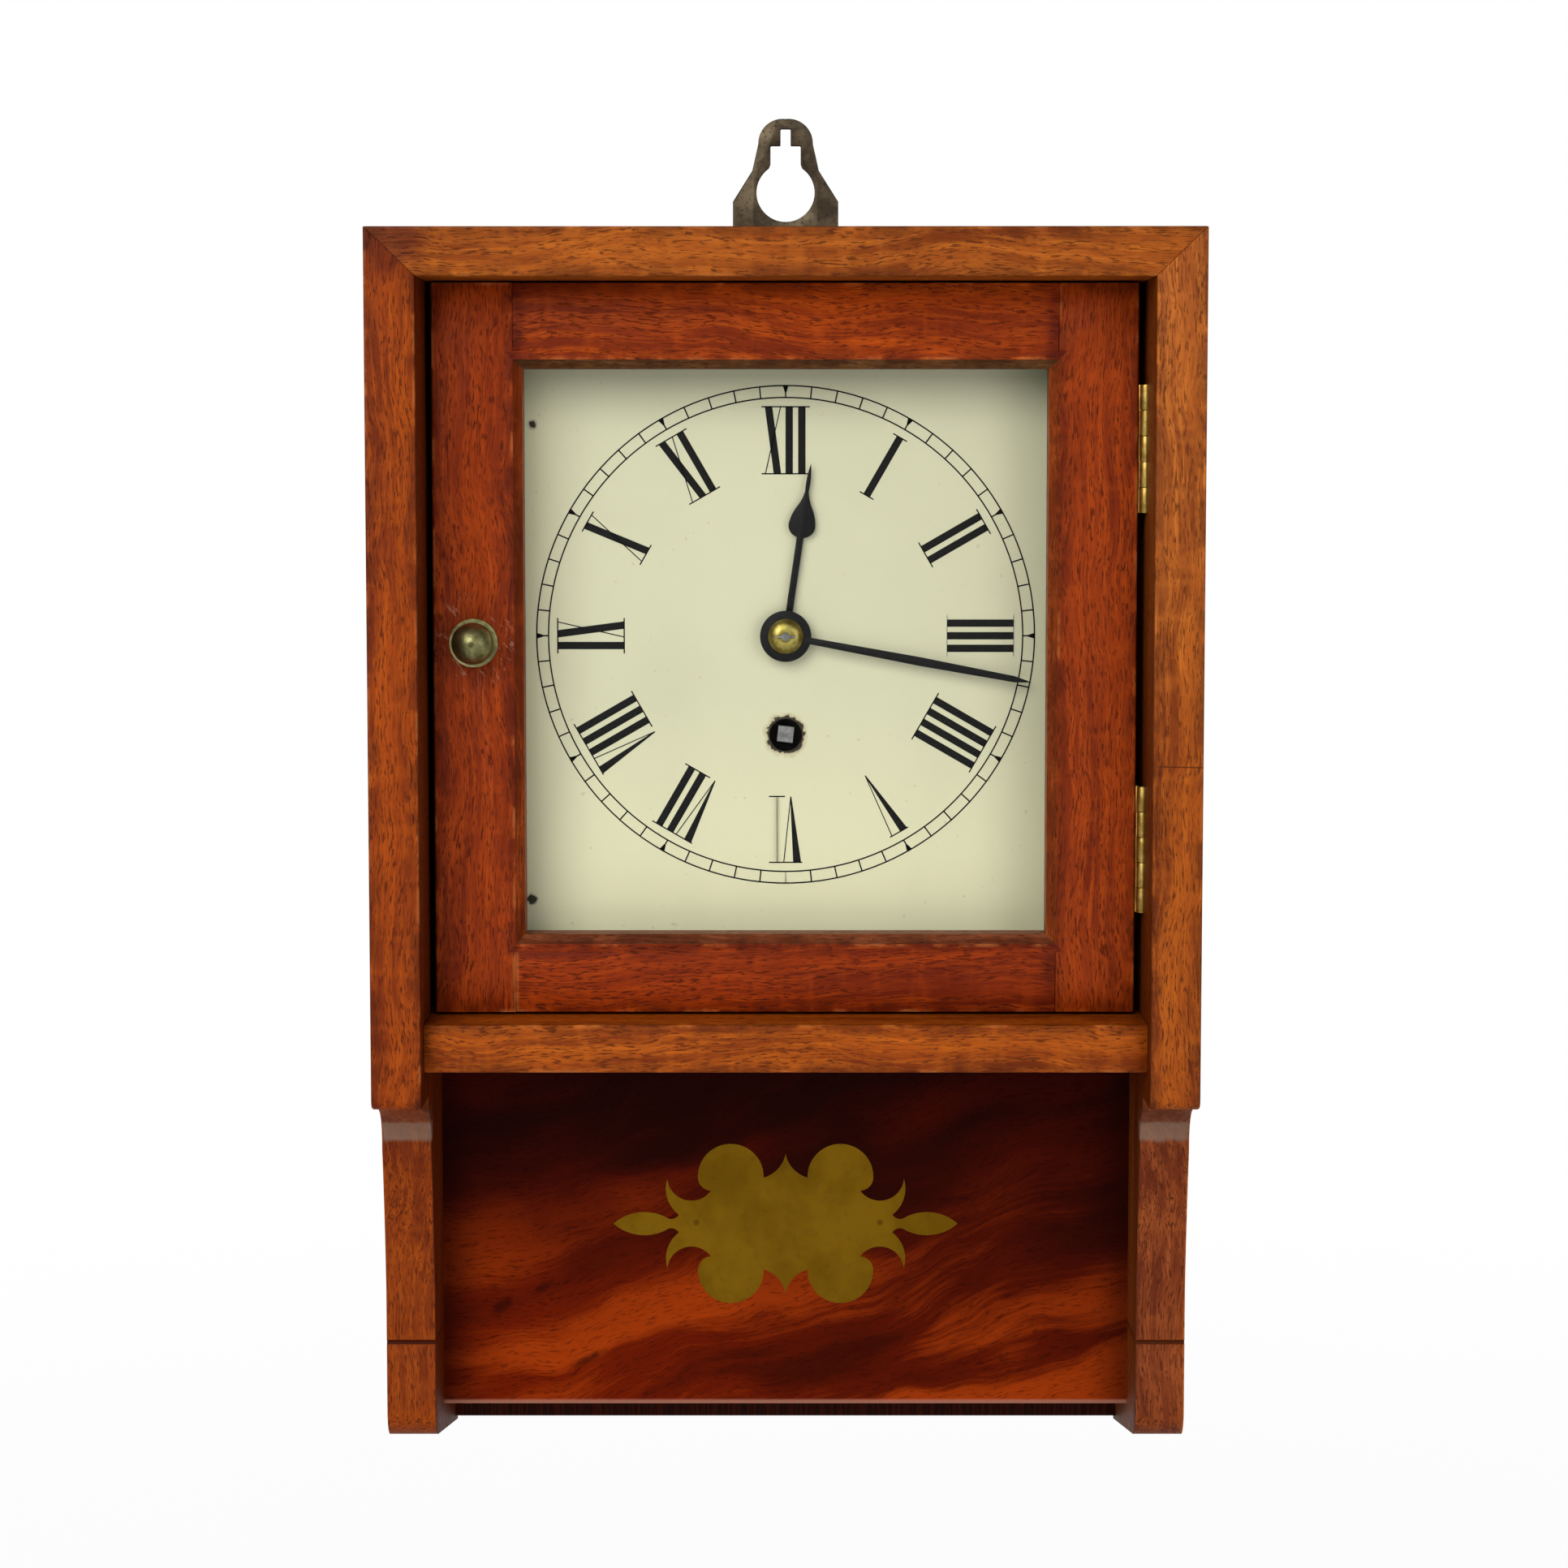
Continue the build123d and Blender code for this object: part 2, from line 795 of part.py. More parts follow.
# Depths of the wheels, counted from the inside of the front plate
great_wheel_depth = train_front + great_wheel_gap
centre_wheel_depth = train_back - centre_wheel_gap - wheel_thickness
intermediate_wheel_depth = centre_wheel_depth - intermediate_wheel_gap - wheel_thickness
drum_end = intermediate_wheel_depth - drum_gap
third_wheel_depth = train_front + third_wheel_place * plate_spacing
escape_wheel_depth = train_front + escape_wheel_place * plate_spacing

# Depths in front of the front plate
hour_hand_depth = dial_depth - hour_hand_gap - hand_thickness
minute_hand_depth = hour_hand_depth - hand_spacing - hand_thickness
collet_depth = minute_hand_depth - collet_height
arbor_tip_depth = collet_depth - arbor_tip_reach
minute_wheel_depth = front_plate_depth - minute_wheel_gap - motion_wheel_thickness
hour_wheel_depth = minute_wheel_depth - hour_wheel_gap - motion_wheel_thickness
ratchet_depth = front_plate_depth - ratchet_gap - ratchet_thickness
square_tip_depth = dial_back + square_recess

# Dial: painted iron plate on four feet
feet_at = [(side * dial_foot_spread, height) for side in (-1, 1) for height in dial_foot_heights]
with BuildPart() as dial_plate:
    block(-dial_half_width, dial_half_width, dial_bottom, dial_top, dial_depth, dial_back)
    turned(centre_at, (dial_centre_hole, dial_depth, dial_back), mode=Mode.SUBTRACT)
    turned(barrel_at, (winding_hole_radius, dial_depth, dial_back), mode=Mode.SUBTRACT)
    for place in dial_screws_at:
        turned(place, (dial_screw_radius, dial_depth, dial_back), mode=Mode.SUBTRACT)
keep(dial_plate.part, "dial_plate")

with BuildPart() as dial_screws:
    for place in dial_screws_at:
        turned(
            place,
            (dial_screw_head_radius, dial_depth - dial_screw_head, dial_depth),
            (dial_screw_radius, dial_depth, dial_depth + dial_screw_length),
        )
        slot_half = dial_screw_radius / 4
        block(
            place[0] - dial_screw_head_radius,
            place[0] + dial_screw_head_radius,
            place[1] - slot_half,
            place[1] + slot_half,
            dial_depth - dial_screw_head,
            dial_depth - dial_screw_head / 2,
            Mode.SUBTRACT,
        )
keep(dial_screws.part, "dial_screws")

# Movement plates, pillars and the pins that lock them
pillar_x = plate_half_width - pillar_inset
pillar_heights = (plate_top - pillar_inset, plate_bottom + pillar_inset)
pillars_at = [(side * pillar_x, height) for side in (-1, 1) for height in pillar_heights]
pillar_tip_depth = front_plate_depth - pillar_tip


def plate_outline(depth):
    with BuildSketch(facing(depth)) as drawn:
        with Locations((0, (plate_top + plate_bottom) / 2)):
            Rectangle(2 * plate_half_width, plate_top - plate_bottom)
        fillet(drawn.vertices(), plate_corner)
    return drawn.sketch


with BuildPart() as front_plate:
    extrude(plate_outline(front_plate_depth), amount=-plate_thickness)
    holes = [
        (centre_at, centre_front_radius + running_gap),
        (barrel_at, arbor_radius + running_gap),
        (intermediate_at, stout_pivot_radius + running_gap),
        (third_at, slim_pivot_radius + running_gap),
        (escape_at, slim_pivot_radius + running_gap),
        (anchor_at, anchor_pivot_radius + running_gap),
        (minute_post_at, minute_post_radius),
        (click_at, click_screw_radius),
        (spring_foot_at, spring_screw_radius),
    ]
    holes += [(place, pillar_tip_radius) for place in pillars_at]
    holes += [(place, dial_foot_tip_radius) for place in feet_at]
    for place, radius in holes:
        turned(place, (radius, front_plate_depth, train_front), mode=Mode.SUBTRACT)
keep(front_plate.part, "front_plate")

cock_foot_height = anchor_at[1] + cock_foot_rise
cock_screws_at = [(side * cock_foot_spread, cock_foot_height) for side in (-1, 1)]
with BuildPart() as back_plate:
    extrude(plate_outline(train_back), amount=-plate_thickness)
    holes = [
        (centre_at, centre_back_radius + running_gap),
        (barrel_at, back_pivot_radius + running_gap),
        (intermediate_at, stout_pivot_radius + running_gap),
        (third_at, slim_pivot_radius + running_gap),
        (escape_at, slim_pivot_radius + running_gap),
        (anchor_at, anchor_body_radius + cock_lug_gap),
    ]
    holes += [(place, pillar_tip_radius) for place in pillars_at]
    holes += [(place, cock_screw_radius) for place in cock_screws_at]
    for place, radius in holes:
        turned(place, (radius, train_back, movement_back), mode=Mode.SUBTRACT)
keep(back_plate.part, "back_plate")


def pin_across(place, depth, growth):
    # taper pin lying across a pillar's or foot's end, or the hole for it
    start = (place[0] - taper_pin_length / 2, y_at(depth), place[1])
    with BuildSketch(Plane(origin=start, z_dir=(1, 0, 0))) as drawn:
        Circle(taper_pin_radius + growth)
    mode = Mode.SUBTRACT if growth else Mode.ADD
    extrude(drawn.sketch, amount=taper_pin_length, mode=mode)


pillar_pin_depth = front_plate_depth - taper_pin_radius
foot_pin_depth = train_front + taper_pin_radius
with BuildPart() as movement_pillars:
    middle = (train_front + train_back) / 2
    for place in pillars_at:
        spun(
            place,
            [
                (0, pillar_tip_depth),
                (pillar_tip_radius, pillar_tip_depth),
                (pillar_tip_radius, train_front),
                (pillar_radius, train_front),
                (pillar_radius, train_front + pillar_collar),
                (pillar_waist_radius, train_front + pillar_collar + pillar_hollow),
                (pillar_radius, middle),
                (pillar_waist_radius, train_back - pillar_collar - pillar_hollow),
                (pillar_radius, train_back - pillar_collar),
                (pillar_radius, train_back),
                (pillar_tip_radius, train_back),
                (pillar_tip_radius, movement_back),
                (0, movement_back),
            ],
        )
        pin_across(place, pillar_pin_depth, seat_gap)
keep(movement_pillars.part, "movement_pillars")

foot_end = train_front + dial_foot_tip
with BuildPart() as dial_feet:
    for place in feet_at:
        turned(
            place,
            (dial_foot_radius, dial_back, front_plate_depth),
            (dial_foot_tip_radius, front_plate_depth, foot_end),
        )
        pin_across(place, foot_pin_depth, seat_gap)
keep(dial_feet.part, "dial_feet")

with BuildPart() as taper_pins:
    for place in pillars_at:
        pin_across(place, pillar_pin_depth, 0)
    for place in feet_at:
        pin_across(place, foot_pin_depth, 0)
keep(taper_pins.part, "taper_pins")


# Arbors: steps of radius between depths, with a pinion cut on
def bored_hub(centre, radius, bore, start, end):
    turned(centre, (radius, start, end))
    turned(centre, (bore, start, end), mode=Mode.SUBTRACT)


def wheel(centre, outline, root, hub, bore, arms, start, thickness):
    # toothed blank with crossings and a riveted collet
    end = start + thickness
    sheet(outline, start, end)
    crossings(centre, hub, root - rim_width, arms, start, end)
    bored_hub(centre, hub * collet_share, bore, start - collet_overhang, end + collet_overhang)
    turned(centre, (bore, start, end), mode=Mode.SUBTRACT)


to_intermediate = direction(barrel_at, intermediate_at)
to_centre = direction(intermediate_at, centre_at)
to_third = direction(centre_at, third_at)
to_escape = direction(third_at, escape_at)

# Barrel: great wheel, drum and cap turning on the winding arbor
barrel_front_bearing = arbor_radius + running_gap
with BuildPart() as barrel_drum:
    great_end = great_wheel_depth + great_wheel_thickness
    outline = wheel_teeth(barrel_at, great_wheel_teeth, great_wheel_module, to_intermediate)
    sheet(outline, great_wheel_depth, great_end)
    turned(barrel_at, (drum_radius, great_end, drum_end))
    turned(barrel_at, (drum_radius - drum_wall, great_end, drum_end), mode=Mode.SUBTRACT)
    turned(barrel_at, (barrel_front_bearing, great_wheel_depth, great_end), mode=Mode.SUBTRACT)
keep(barrel_drum.part, "barrel_drum")

cap_depth = drum_end - barrel_cap_thickness
cap_bearing = back_pivot_radius + cap_shoulder
with BuildPart() as barrel_cap:
    bored_hub(barrel_at, drum_radius - drum_wall, cap_bearing + running_gap, cap_depth, drum_end)
keep(barrel_cap.part, "barrel_cap")

# Mainspring: one ribbon of half circles about two centres
spring_front = great_wheel_depth + great_wheel_thickness + spring_side_gap
spring_back = cap_depth - spring_side_gap
spring_inner = arbor_hub_radius + spring_coil_gap + mainspring_strip / 2
spring_outer = drum_radius - drum_wall - spring_coil_gap - mainspring_strip / 2
spring_step = (spring_outer - spring_inner) / (2 * mainspring_coils)
with BuildPart() as mainspring:
    with BuildSketch(facing(spring_front, barrel_at)):
        for number in range(2 * mainspring_coils):
            radius = spring_inner + (number + 0.5) * spring_step
            side = 1 if number % 2 == 0 else -1
            inner = radius - mainspring_strip / 2
            outer = radius + mainspring_strip / 2
            shift = side * spring_step / 2
            with BuildLine():
                ThreePointArc((shift - outer, 0), (shift, side * outer), (shift + outer, 0))
                Line((shift + outer, 0), (shift + inner, 0))
                ThreePointArc((shift + inner, 0), (shift, side * inner), (shift - inner, 0))
                Line((shift - inner, 0), (shift - outer, 0))
            make_face()
    extrude(amount=spring_front - spring_back)
keep(mainspring.part, "mainspring")

# Winding arbor with its square for the key and the ratchet
with BuildPart() as winding_arbor:
    with BuildSketch(facing(square_tip_depth, barrel_at, winding_square_turn)):
        Rectangle(winding_square, winding_square)
    extrude(amount=square_tip_depth - front_plate_depth + plate_clear)
    turned(
        barrel_at,
        (arbor_radius, front_plate_depth - plate_clear, great_wheel_depth + great_wheel_thickness),
        (arbor_hub_radius, great_wheel_depth + great_wheel_thickness, cap_depth),
        (cap_bearing, cap_depth, train_back - plate_clear),
        (back_pivot_radius, train_back - plate_clear, movement_back + plate_clear),
    )
keep(winding_arbor.part, "winding_arbor")


def ratchet_outline():
    points = []
    for number in range(ratchet_teeth):
        angle = 90 + 360 * number / ratchet_teeth
        points.append(polar(barrel_at, ratchet_radius, angle))
        points.append(polar(barrel_at, ratchet_radius - ratchet_tooth_height, angle + ratchet_undercut))
    return points


with BuildPart() as ratchet_wheel:
    sheet(ratchet_outline(), ratchet_depth, ratchet_depth + ratchet_thickness)
    with BuildSketch(facing(ratchet_depth, barrel_at, winding_square_turn)) as drawn:
        Rectangle(winding_square + square_gap, winding_square + square_gap)
    extrude(drawn.sketch, amount=-ratchet_thickness, mode=Mode.SUBTRACT)
keep(ratchet_wheel.part, "ratchet_wheel")

# Click: its beak stands over the ratchet
beak_at = polar(barrel_at, ratchet_radius + click_gap, beak_turn)
heel_at = polar(beak_at, heel_reach, heel_turn)
with BuildPart() as click:
    turned(click_at, (click_eye_radius, ratchet_depth, ratchet_depth + ratchet_thickness))
    to_beak = direction(click_at, beak_at)
    sheet(
        [
            polar(click_at, click_eye_radius, to_beak - 90),
            beak_at,
            heel_at,
            polar(click_at, click_eye_radius, to_beak + 90),
        ],
        ratchet_depth,
        ratchet_depth + ratchet_thickness,
    )
    click_bore = click_screw_radius + running_gap
    turned(click_at, (click_bore, ratchet_depth, ratchet_depth + ratchet_thickness), mode=Mode.SUBTRACT)
keep(click.part, "click")

# Click spring: a bent strip whose foot is screwed to the front plate
click_spring_start = front_plate_depth - click_spring_width
spring_tip_at = polar(heel_at, click_spring_strip, to_beak + 90)
spring_bend_at = polar(
    ((spring_foot_at[0] + spring_tip_at[0]) / 2, (spring_foot_at[1] + spring_tip_at[1]) / 2),
    click_spring_bow,
    direction(spring_foot_at, spring_tip_at) + 90,
)
with BuildPart() as click_spring:
    turned(spring_foot_at, (spring_foot_radius, click_spring_start, front_plate_depth))
    with BuildSketch(facing(click_spring_start)) as drawn:
        with BuildLine():
            ThreePointArc(spring_foot_at, spring_bend_at, spring_tip_at)
        trace(line_width=click_spring_strip)
    extrude(drawn.sketch, amount=plate_clear - click_spring_width)
    turned(spring_foot_at, (spring_screw_radius, click_spring_start, front_plate_depth), mode=Mode.SUBTRACT)
keep(click_spring.part, "click_spring")

# Intermediate arbor and wheel
with BuildPart() as intermediate_arbor:
    gap_angle = gap_facing(to_intermediate + 180, intermediate_leaves)
    leaves = pinion_leaves(intermediate_at, intermediate_leaves, great_wheel_module, gap_angle)
    sheet(leaves, *leaf_span(great_wheel_depth, great_wheel_thickness))
    turned(
        intermediate_at,
        (stout_pivot_radius, front_plate_depth - plate_clear, train_front + plate_clear),
        (stout_body_radius, train_front + plate_clear, train_back - plate_clear),
        (stout_pivot_radius, train_back - plate_clear, movement_back + plate_clear),
    )
keep(intermediate_arbor.part, "intermediate_arbor")

with BuildPart() as intermediate_wheel:
    root = root_radius(intermediate_teeth, intermediate_module)
    outline = wheel_teeth(intermediate_at, intermediate_teeth, intermediate_module, to_centre)
    bore = stout_body_radius + seat_gap
    place = (large_wheel_arms, intermediate_wheel_depth, wheel_thickness)
    wheel(intermediate_at, outline, root, stout_hub_radius, bore, *place)
keep(intermediate_wheel.part, "intermediate_wheel")

# Centre arbor and wheel; its front end carries the hands, kept on by a cross pin
hand_pin_start = (-hand_pin_length / 2, y_at(arbor_tip_depth + arbor_tip_reach / 2), 0)
with BuildSketch(Plane(origin=hand_pin_start, z_dir=(1, 0, 0))) as hand_pin_end:
    Circle(hand_pin_radius)

with BuildPart() as centre_arbor:
    gap_angle = gap_facing(to_centre + 180, centre_leaves)
    leaves = pinion_leaves(centre_at, centre_leaves, intermediate_module, gap_angle)
    sheet(leaves, *leaf_span(intermediate_wheel_depth, wheel_thickness))
    turned(
        centre_at,
        (centre_tip_radius, arbor_tip_depth, front_plate_depth - plate_clear),
        (centre_front_radius, front_plate_depth - plate_clear, train_front + plate_clear),
        (centre_body_radius, train_front + plate_clear, train_back - plate_clear),
        (centre_back_radius, train_back - plate_clear, movement_back + plate_clear),
    )
    extrude(hand_pin_end.sketch, amount=hand_pin_length, mode=Mode.SUBTRACT)
keep(centre_arbor.part, "centre_arbor")

with BuildPart() as hand_pin:
    extrude(hand_pin_end.sketch, amount=hand_pin_length)
keep(hand_pin.part, "hand_pin")

with BuildPart() as centre_wheel:
    root = root_radius(centre_teeth, centre_module)
    outline = wheel_teeth(centre_at, centre_teeth, centre_module, to_third)
    bore = centre_body_radius + seat_gap
    place = (large_wheel_arms, centre_wheel_depth, wheel_thickness)
    wheel(centre_at, outline, root, centre_hub_radius, bore, *place)
keep(centre_wheel.part, "centre_wheel")

# Third arbor and wheel
with BuildPart() as third_arbor:
    gap_angle = gap_facing(to_third + 180, third_leaves)
    leaves = pinion_leaves(third_at, third_leaves, centre_module, gap_angle)
    sheet(leaves, *leaf_span(centre_wheel_depth, wheel_thickness))
    turned(
        third_at,
        (slim_pivot_radius, front_plate_depth - plate_clear, train_front + plate_clear),
        (slim_body_radius, train_front + plate_clear, train_back - plate_clear),
        (slim_pivot_radius, train_back - plate_clear, movement_back + plate_clear),
    )
keep(third_arbor.part, "third_arbor")

with BuildPart() as third_wheel:
    root = root_radius(third_teeth, third_module)
    outline = wheel_teeth(third_at, third_teeth, third_module, to_escape)
    bore = slim_body_radius + seat_gap
    place = (small_wheel_arms, third_wheel_depth, wheel_thickness)
    wheel(third_at, outline, root, third_hub_radius, bore, *place)
keep(third_wheel.part, "third_wheel")

# Escape arbor and wheel
with BuildPart() as escape_arbor:
    gap_angle = gap_facing(to_escape + 180, escape_leaves)
    leaves = pinion_leaves(escape_at, escape_leaves, third_module, gap_angle)
    sheet(leaves, *leaf_span(third_wheel_depth, wheel_thickness))
    turned(
        escape_at,
        (slim_pivot_radius, front_plate_depth - plate_clear, train_front + plate_clear),
        (slim_body_radius, train_front + plate_clear, train_back - plate_clear),
        (slim_pivot_radius, train_back - plate_clear, movement_back + plate_clear),
    )
keep(escape_arbor.part, "escape_arbor")


def escape_outline():
    # pointed teeth that lean into the turn
    points = []
    root = escape_radius - escape_tooth_height
    for number in range(escape_teeth):
        angle = 90 - 360 * number / escape_teeth
        points.append(polar(escape_at, root, angle + escape_tooth_lean))
        points.append(polar(escape_at, escape_radius, angle + escape_tip_half))
        points.append(polar(escape_at, escape_radius, angle - escape_tip_half))
        points.append(polar(escape_at, root, angle - escape_tooth_back))
    return points


with BuildPart() as escape_wheel:
    root = escape_radius - escape_tooth_height
    bore = slim_body_radius + seat_gap
    place = (small_wheel_arms, escape_wheel_depth, escape_wheel_thickness)
    wheel(escape_at, escape_outline(), root, escape_hub_radius, bore, *place)
keep(escape_wheel.part, "escape_wheel")

# Anchor on its arbor; both pallets stand clear of the escape wheel's tips
anchor_depth = escape_wheel_depth + (escape_wheel_thickness - anchor_thickness) / 2
pallet_reach = escape_radius + pallet_gap
crutch_depth = movement_back + crutch_gap
crutch_back = crutch_depth + crutch_wire
cock_lug_depth = crutch_back + cock_lug_gap
cock_back = cock_lug_depth + cock_lug_thickness
with BuildPart() as anchor:
    with BuildSketch(facing(anchor_depth)) as drawn:
        with BuildLine():
            pallet_tip = polar(escape_at, pallet_reach, 90 - pallet_angle - pallet_toe)
            pallet_heel = polar(escape_at, pallet_reach + pallet_relief, 90 - pallet_angle + pallet_toe / 2)
            pallet_outer = polar(escape_at, pallet_reach + pallet_thickness, 90 - pallet_angle - pallet_toe)
            Polyline(
                (0, anchor_at[1] - anchor_arm_height),
                (pallet_heel[0] - pallet_relief, pallet_heel[1] + pallet_thickness),
                pallet_heel,
                pallet_tip,
                pallet_outer,
                (pallet_outer[0] - pallet_relief, anchor_at[1] - anchor_arm_height),
                (0, anchor_at[1] + anchor_crown),
            )
            mirror(about=Plane.YZ)
        make_face()
    extrude(drawn.sketch, amount=-anchor_thickness)
    turned(
        anchor_at,
        (anchor_pivot_radius, front_plate_depth - plate_clear, train_front + plate_clear),
        (anchor_body_radius, train_front + plate_clear, cock_lug_depth - plate_clear),
        (anchor_pivot_radius, cock_lug_depth - plate_clear, cock_back),
    )
keep(anchor.part, "anchor")

# Crutch: collar, wire and the fork that holds the pendulum rod
fork_height = anchor_at[1] - crutch_length
fork_inner = rod_radius + fork_gap
fork_reach = fork_inner + crutch_wire
fork_end = pendulum_depth + rod_radius + crutch_wire
with BuildPart() as crutch:
    fork_top = fork_height + crutch_wire
    wire_half = crutch_wire / 2
    wire_top = anchor_at[1] - anchor_body_radius - wire_half
    bored_hub(anchor_at, crutch_collar_radius, anchor_body_radius + seat_gap, crutch_depth, crutch_back)
    block(-wire_half, wire_half, fork_height, wire_top, crutch_depth, crutch_back)
    block(-fork_reach, fork_reach, fork_height, fork_top, crutch_depth, crutch_back)
    for side in (-1, 1):
        edges = sorted((side * fork_inner, side * fork_reach))
        block(*edges, fork_height, fork_top, crutch_back, fork_end)
keep(crutch.part, "crutch")

# Back cock: holds the anchor's back pivot and hangs the pendulum
suspension_back = pendulum_depth + suspension_width / 2
cock_top = anchor_at[1] + cock_height
spring_top = anchor_at[1] + suspension_grip
with BuildPart() as back_cock:
    foot_half = cock_foot_spread + cock_screw_radius + cock_foot_margin
    foot_bottom = cock_foot_height - cock_screw_radius - cock_foot_margin
    foot_back = movement_back + cock_foot_thickness
    arm_bottom = anchor_at[1] + crutch_collar_radius + cock_foot_margin
    half = cock_arm_half_width
    block(-foot_half, foot_half, foot_bottom, cock_top, movement_back, foot_back)
    block(-half, half, foot_bottom, arm_bottom, movement_back, foot_back, Mode.SUBTRACT)
    block(-half, half, arm_bottom, cock_top, movement_back, suspension_back)
    block(-half, half, anchor_at[1] - cock_lug_drop, cock_top, cock_lug_depth, cock_back)
    block(-cock_lug_drop, cock_lug_drop, anchor_at[1], cock_top, cock_back, suspension_back)
    turned(anchor_at, (anchor_pivot_radius + running_gap, cock_lug_depth, cock_back), mode=Mode.SUBTRACT)
    slit = suspension_slit / 2
    slit_top = spring_top + suspension_slit
    block(-slit, slit, anchor_at[1], slit_top, cock_back, suspension_back, Mode.SUBTRACT)
    for place in cock_screws_at:
        turned(place, (cock_screw_radius, movement_back, foot_back), mode=Mode.SUBTRACT)
keep(back_cock.part, "back_cock")


# Screws of the cock, the click and the click spring: each a shank and a cheese head
def screw(place, shank, seat, tip):
    # seat is the depth of the head's underside; the head lies away from the tip
    away = screw_head_height if seat > tip else -screw_head_height
    for radius, one, other in ((shank, seat, tip), (shank + screw_head_margin, seat, seat + away)):
        turned(place, (radius, min(one, other), max(one, other)))


with BuildPart() as movement_screws:
    for place in cock_screws_at:
        screw(place, cock_screw_radius, movement_back + cock_foot_thickness, train_back)
    screw(click_at, click_screw_radius, ratchet_depth - click_screw_gap, train_front)
    screw(spring_foot_at, spring_screw_radius, click_spring_start, train_front)
keep(movement_screws.part, "movement_screws")

# Pendulum: suspension spring, rod with its clip, lens bob and rating nut
bob_at = (0.0, anchor_at[1] - pendulum_length)
rod_top = anchor_at[1] - suspension_free
with BuildPart() as suspension_spring:
    strip_half = suspension_thickness / 2
    block(-strip_half, strip_half, rod_top, spring_top, cock_back + suspension_side_gap, suspension_back)
keep(suspension_spring.part, "suspension_spring")

nut_top = bob_at[1] - bob_radius - nut_gap
with BuildPart() as pendulum_rod:
    rod_foot = nut_top - rating_nut_height - rod_end
    with BuildSketch(Plane.XY.offset(rod_foot)):
        with Locations((0, y_at(pendulum_depth))):
            Circle(rod_radius)
    extrude(amount=rod_top - rod_foot)
    clip_half = suspension_width / 2 - suspension_side_gap
    clip_front = pendulum_depth - clip_half
    block(-clip_half, clip_half, rod_top - rod_clip_height, rod_top, clip_front, suspension_back)
keep(pendulum_rod.part, "pendulum_rod")


def crown(apex, rim_radius, rim_depth):
    # middle of the arc that swells from the axis to the rim
    rise = rim_depth - apex
    swell = (rim_radius**2 + rise**2) / (2 * rise)
    half_turn = asin(rim_radius / abs(swell)) / 2
    return (abs(swell) * sin(half_turn), apex + swell * (1 - cos(half_turn)))


with BuildPart() as pendulum_bob:
    with BuildSketch(lathe(bob_at)) as drawn:
        with BuildLine():
            front = pendulum_depth - bob_thickness / 2
            back = pendulum_depth + bob_thickness / 2
            edge_front = pendulum_depth - bob_edge / 2
            edge_back = pendulum_depth + bob_edge / 2
            ThreePointArc((0, front), crown(front, bob_radius, edge_front), (bob_radius, edge_front))
            Line((bob_radius, edge_front), (bob_radius, edge_back))
            ThreePointArc((bob_radius, edge_back), crown(back, bob_radius, edge_back), (0, back))
            Line((0, back), (0, front))
        make_face()
    revolve(drawn.sketch, axis=arbor_axis(bob_at))
    with BuildSketch(Plane.XY.offset(bob_at[1] - bob_radius)) as drawn:
        with Locations((0, y_at(pendulum_depth))):
            Circle(rod_radius + bob_bore_gap)
    extrude(drawn.sketch, amount=2 * bob_radius, mode=Mode.SUBTRACT)
keep(pendulum_bob.part, "pendulum_bob")

with BuildPart() as rating_nut:
    with BuildSketch(Plane.XY.offset(nut_top - rating_nut_height)):
        with Locations((0, y_at(pendulum_depth))):
            RegularPolygon(rating_nut_radius, rating_nut_sides)
            Circle(rod_radius + bob_bore_gap, mode=Mode.SUBTRACT)
    extrude(amount=rating_nut_height)
keep(rating_nut.part, "rating_nut")

# Motion work
hour_angle = 30 * (hour_now % 12 + minutes_now / 60)
minute_angle = 6 * minutes_now
with BuildPart() as cannon_pinion:
    pipe_front = minute_hand_depth - hand_seat
    pinion_end = front_plate_depth - cannon_gap
    gap_angle = gap_facing(minute_wheel_turn, cannon_leaves)
    leaves = pinion_leaves(centre_at, cannon_leaves, motion_module, gap_angle)
    sheet(leaves, minute_wheel_depth - motion_overhang, pinion_end)
    turned(centre_at, (cannon_pipe_radius, pipe_front, minute_wheel_depth))
    turned(centre_at, (centre_tip_radius + seat_gap, pipe_front, pinion_end), mode=Mode.SUBTRACT)
keep(cannon_pinion.part, "cannon_pinion")

post_front = hour_wheel_depth - post_overhang
minute_wheel_front = hour_wheel_depth - motion_overhang
minute_wheel_back = minute_wheel_depth + motion_wheel_thickness
with BuildPart() as minute_wheel:
    outline = wheel_teeth(minute_post_at, minute_wheel_teeth, motion_module, minute_wheel_turn + 180)
    sheet(outline, minute_wheel_depth, minute_wheel_back)
    gap_angle = gap_facing(minute_wheel_turn + 180, minute_leaves)
    leaves = pinion_leaves(minute_post_at, minute_leaves, hour_module, gap_angle)
    sheet(leaves, minute_wheel_front, minute_wheel_depth)
    post_bore = minute_post_radius + running_gap
    turned(minute_post_at, (post_bore, minute_wheel_front, minute_wheel_back), mode=Mode.SUBTRACT)
keep(minute_wheel.part, "minute_wheel")

with BuildPart() as minute_wheel_post:
    turned(
        minute_post_at,
        (minute_post_radius, post_front, train_front),
        (minute_post_radius + post_shoulder, minute_wheel_back + post_gap, front_plate_depth),
    )
keep(minute_wheel_post.part, "minute_wheel_post")

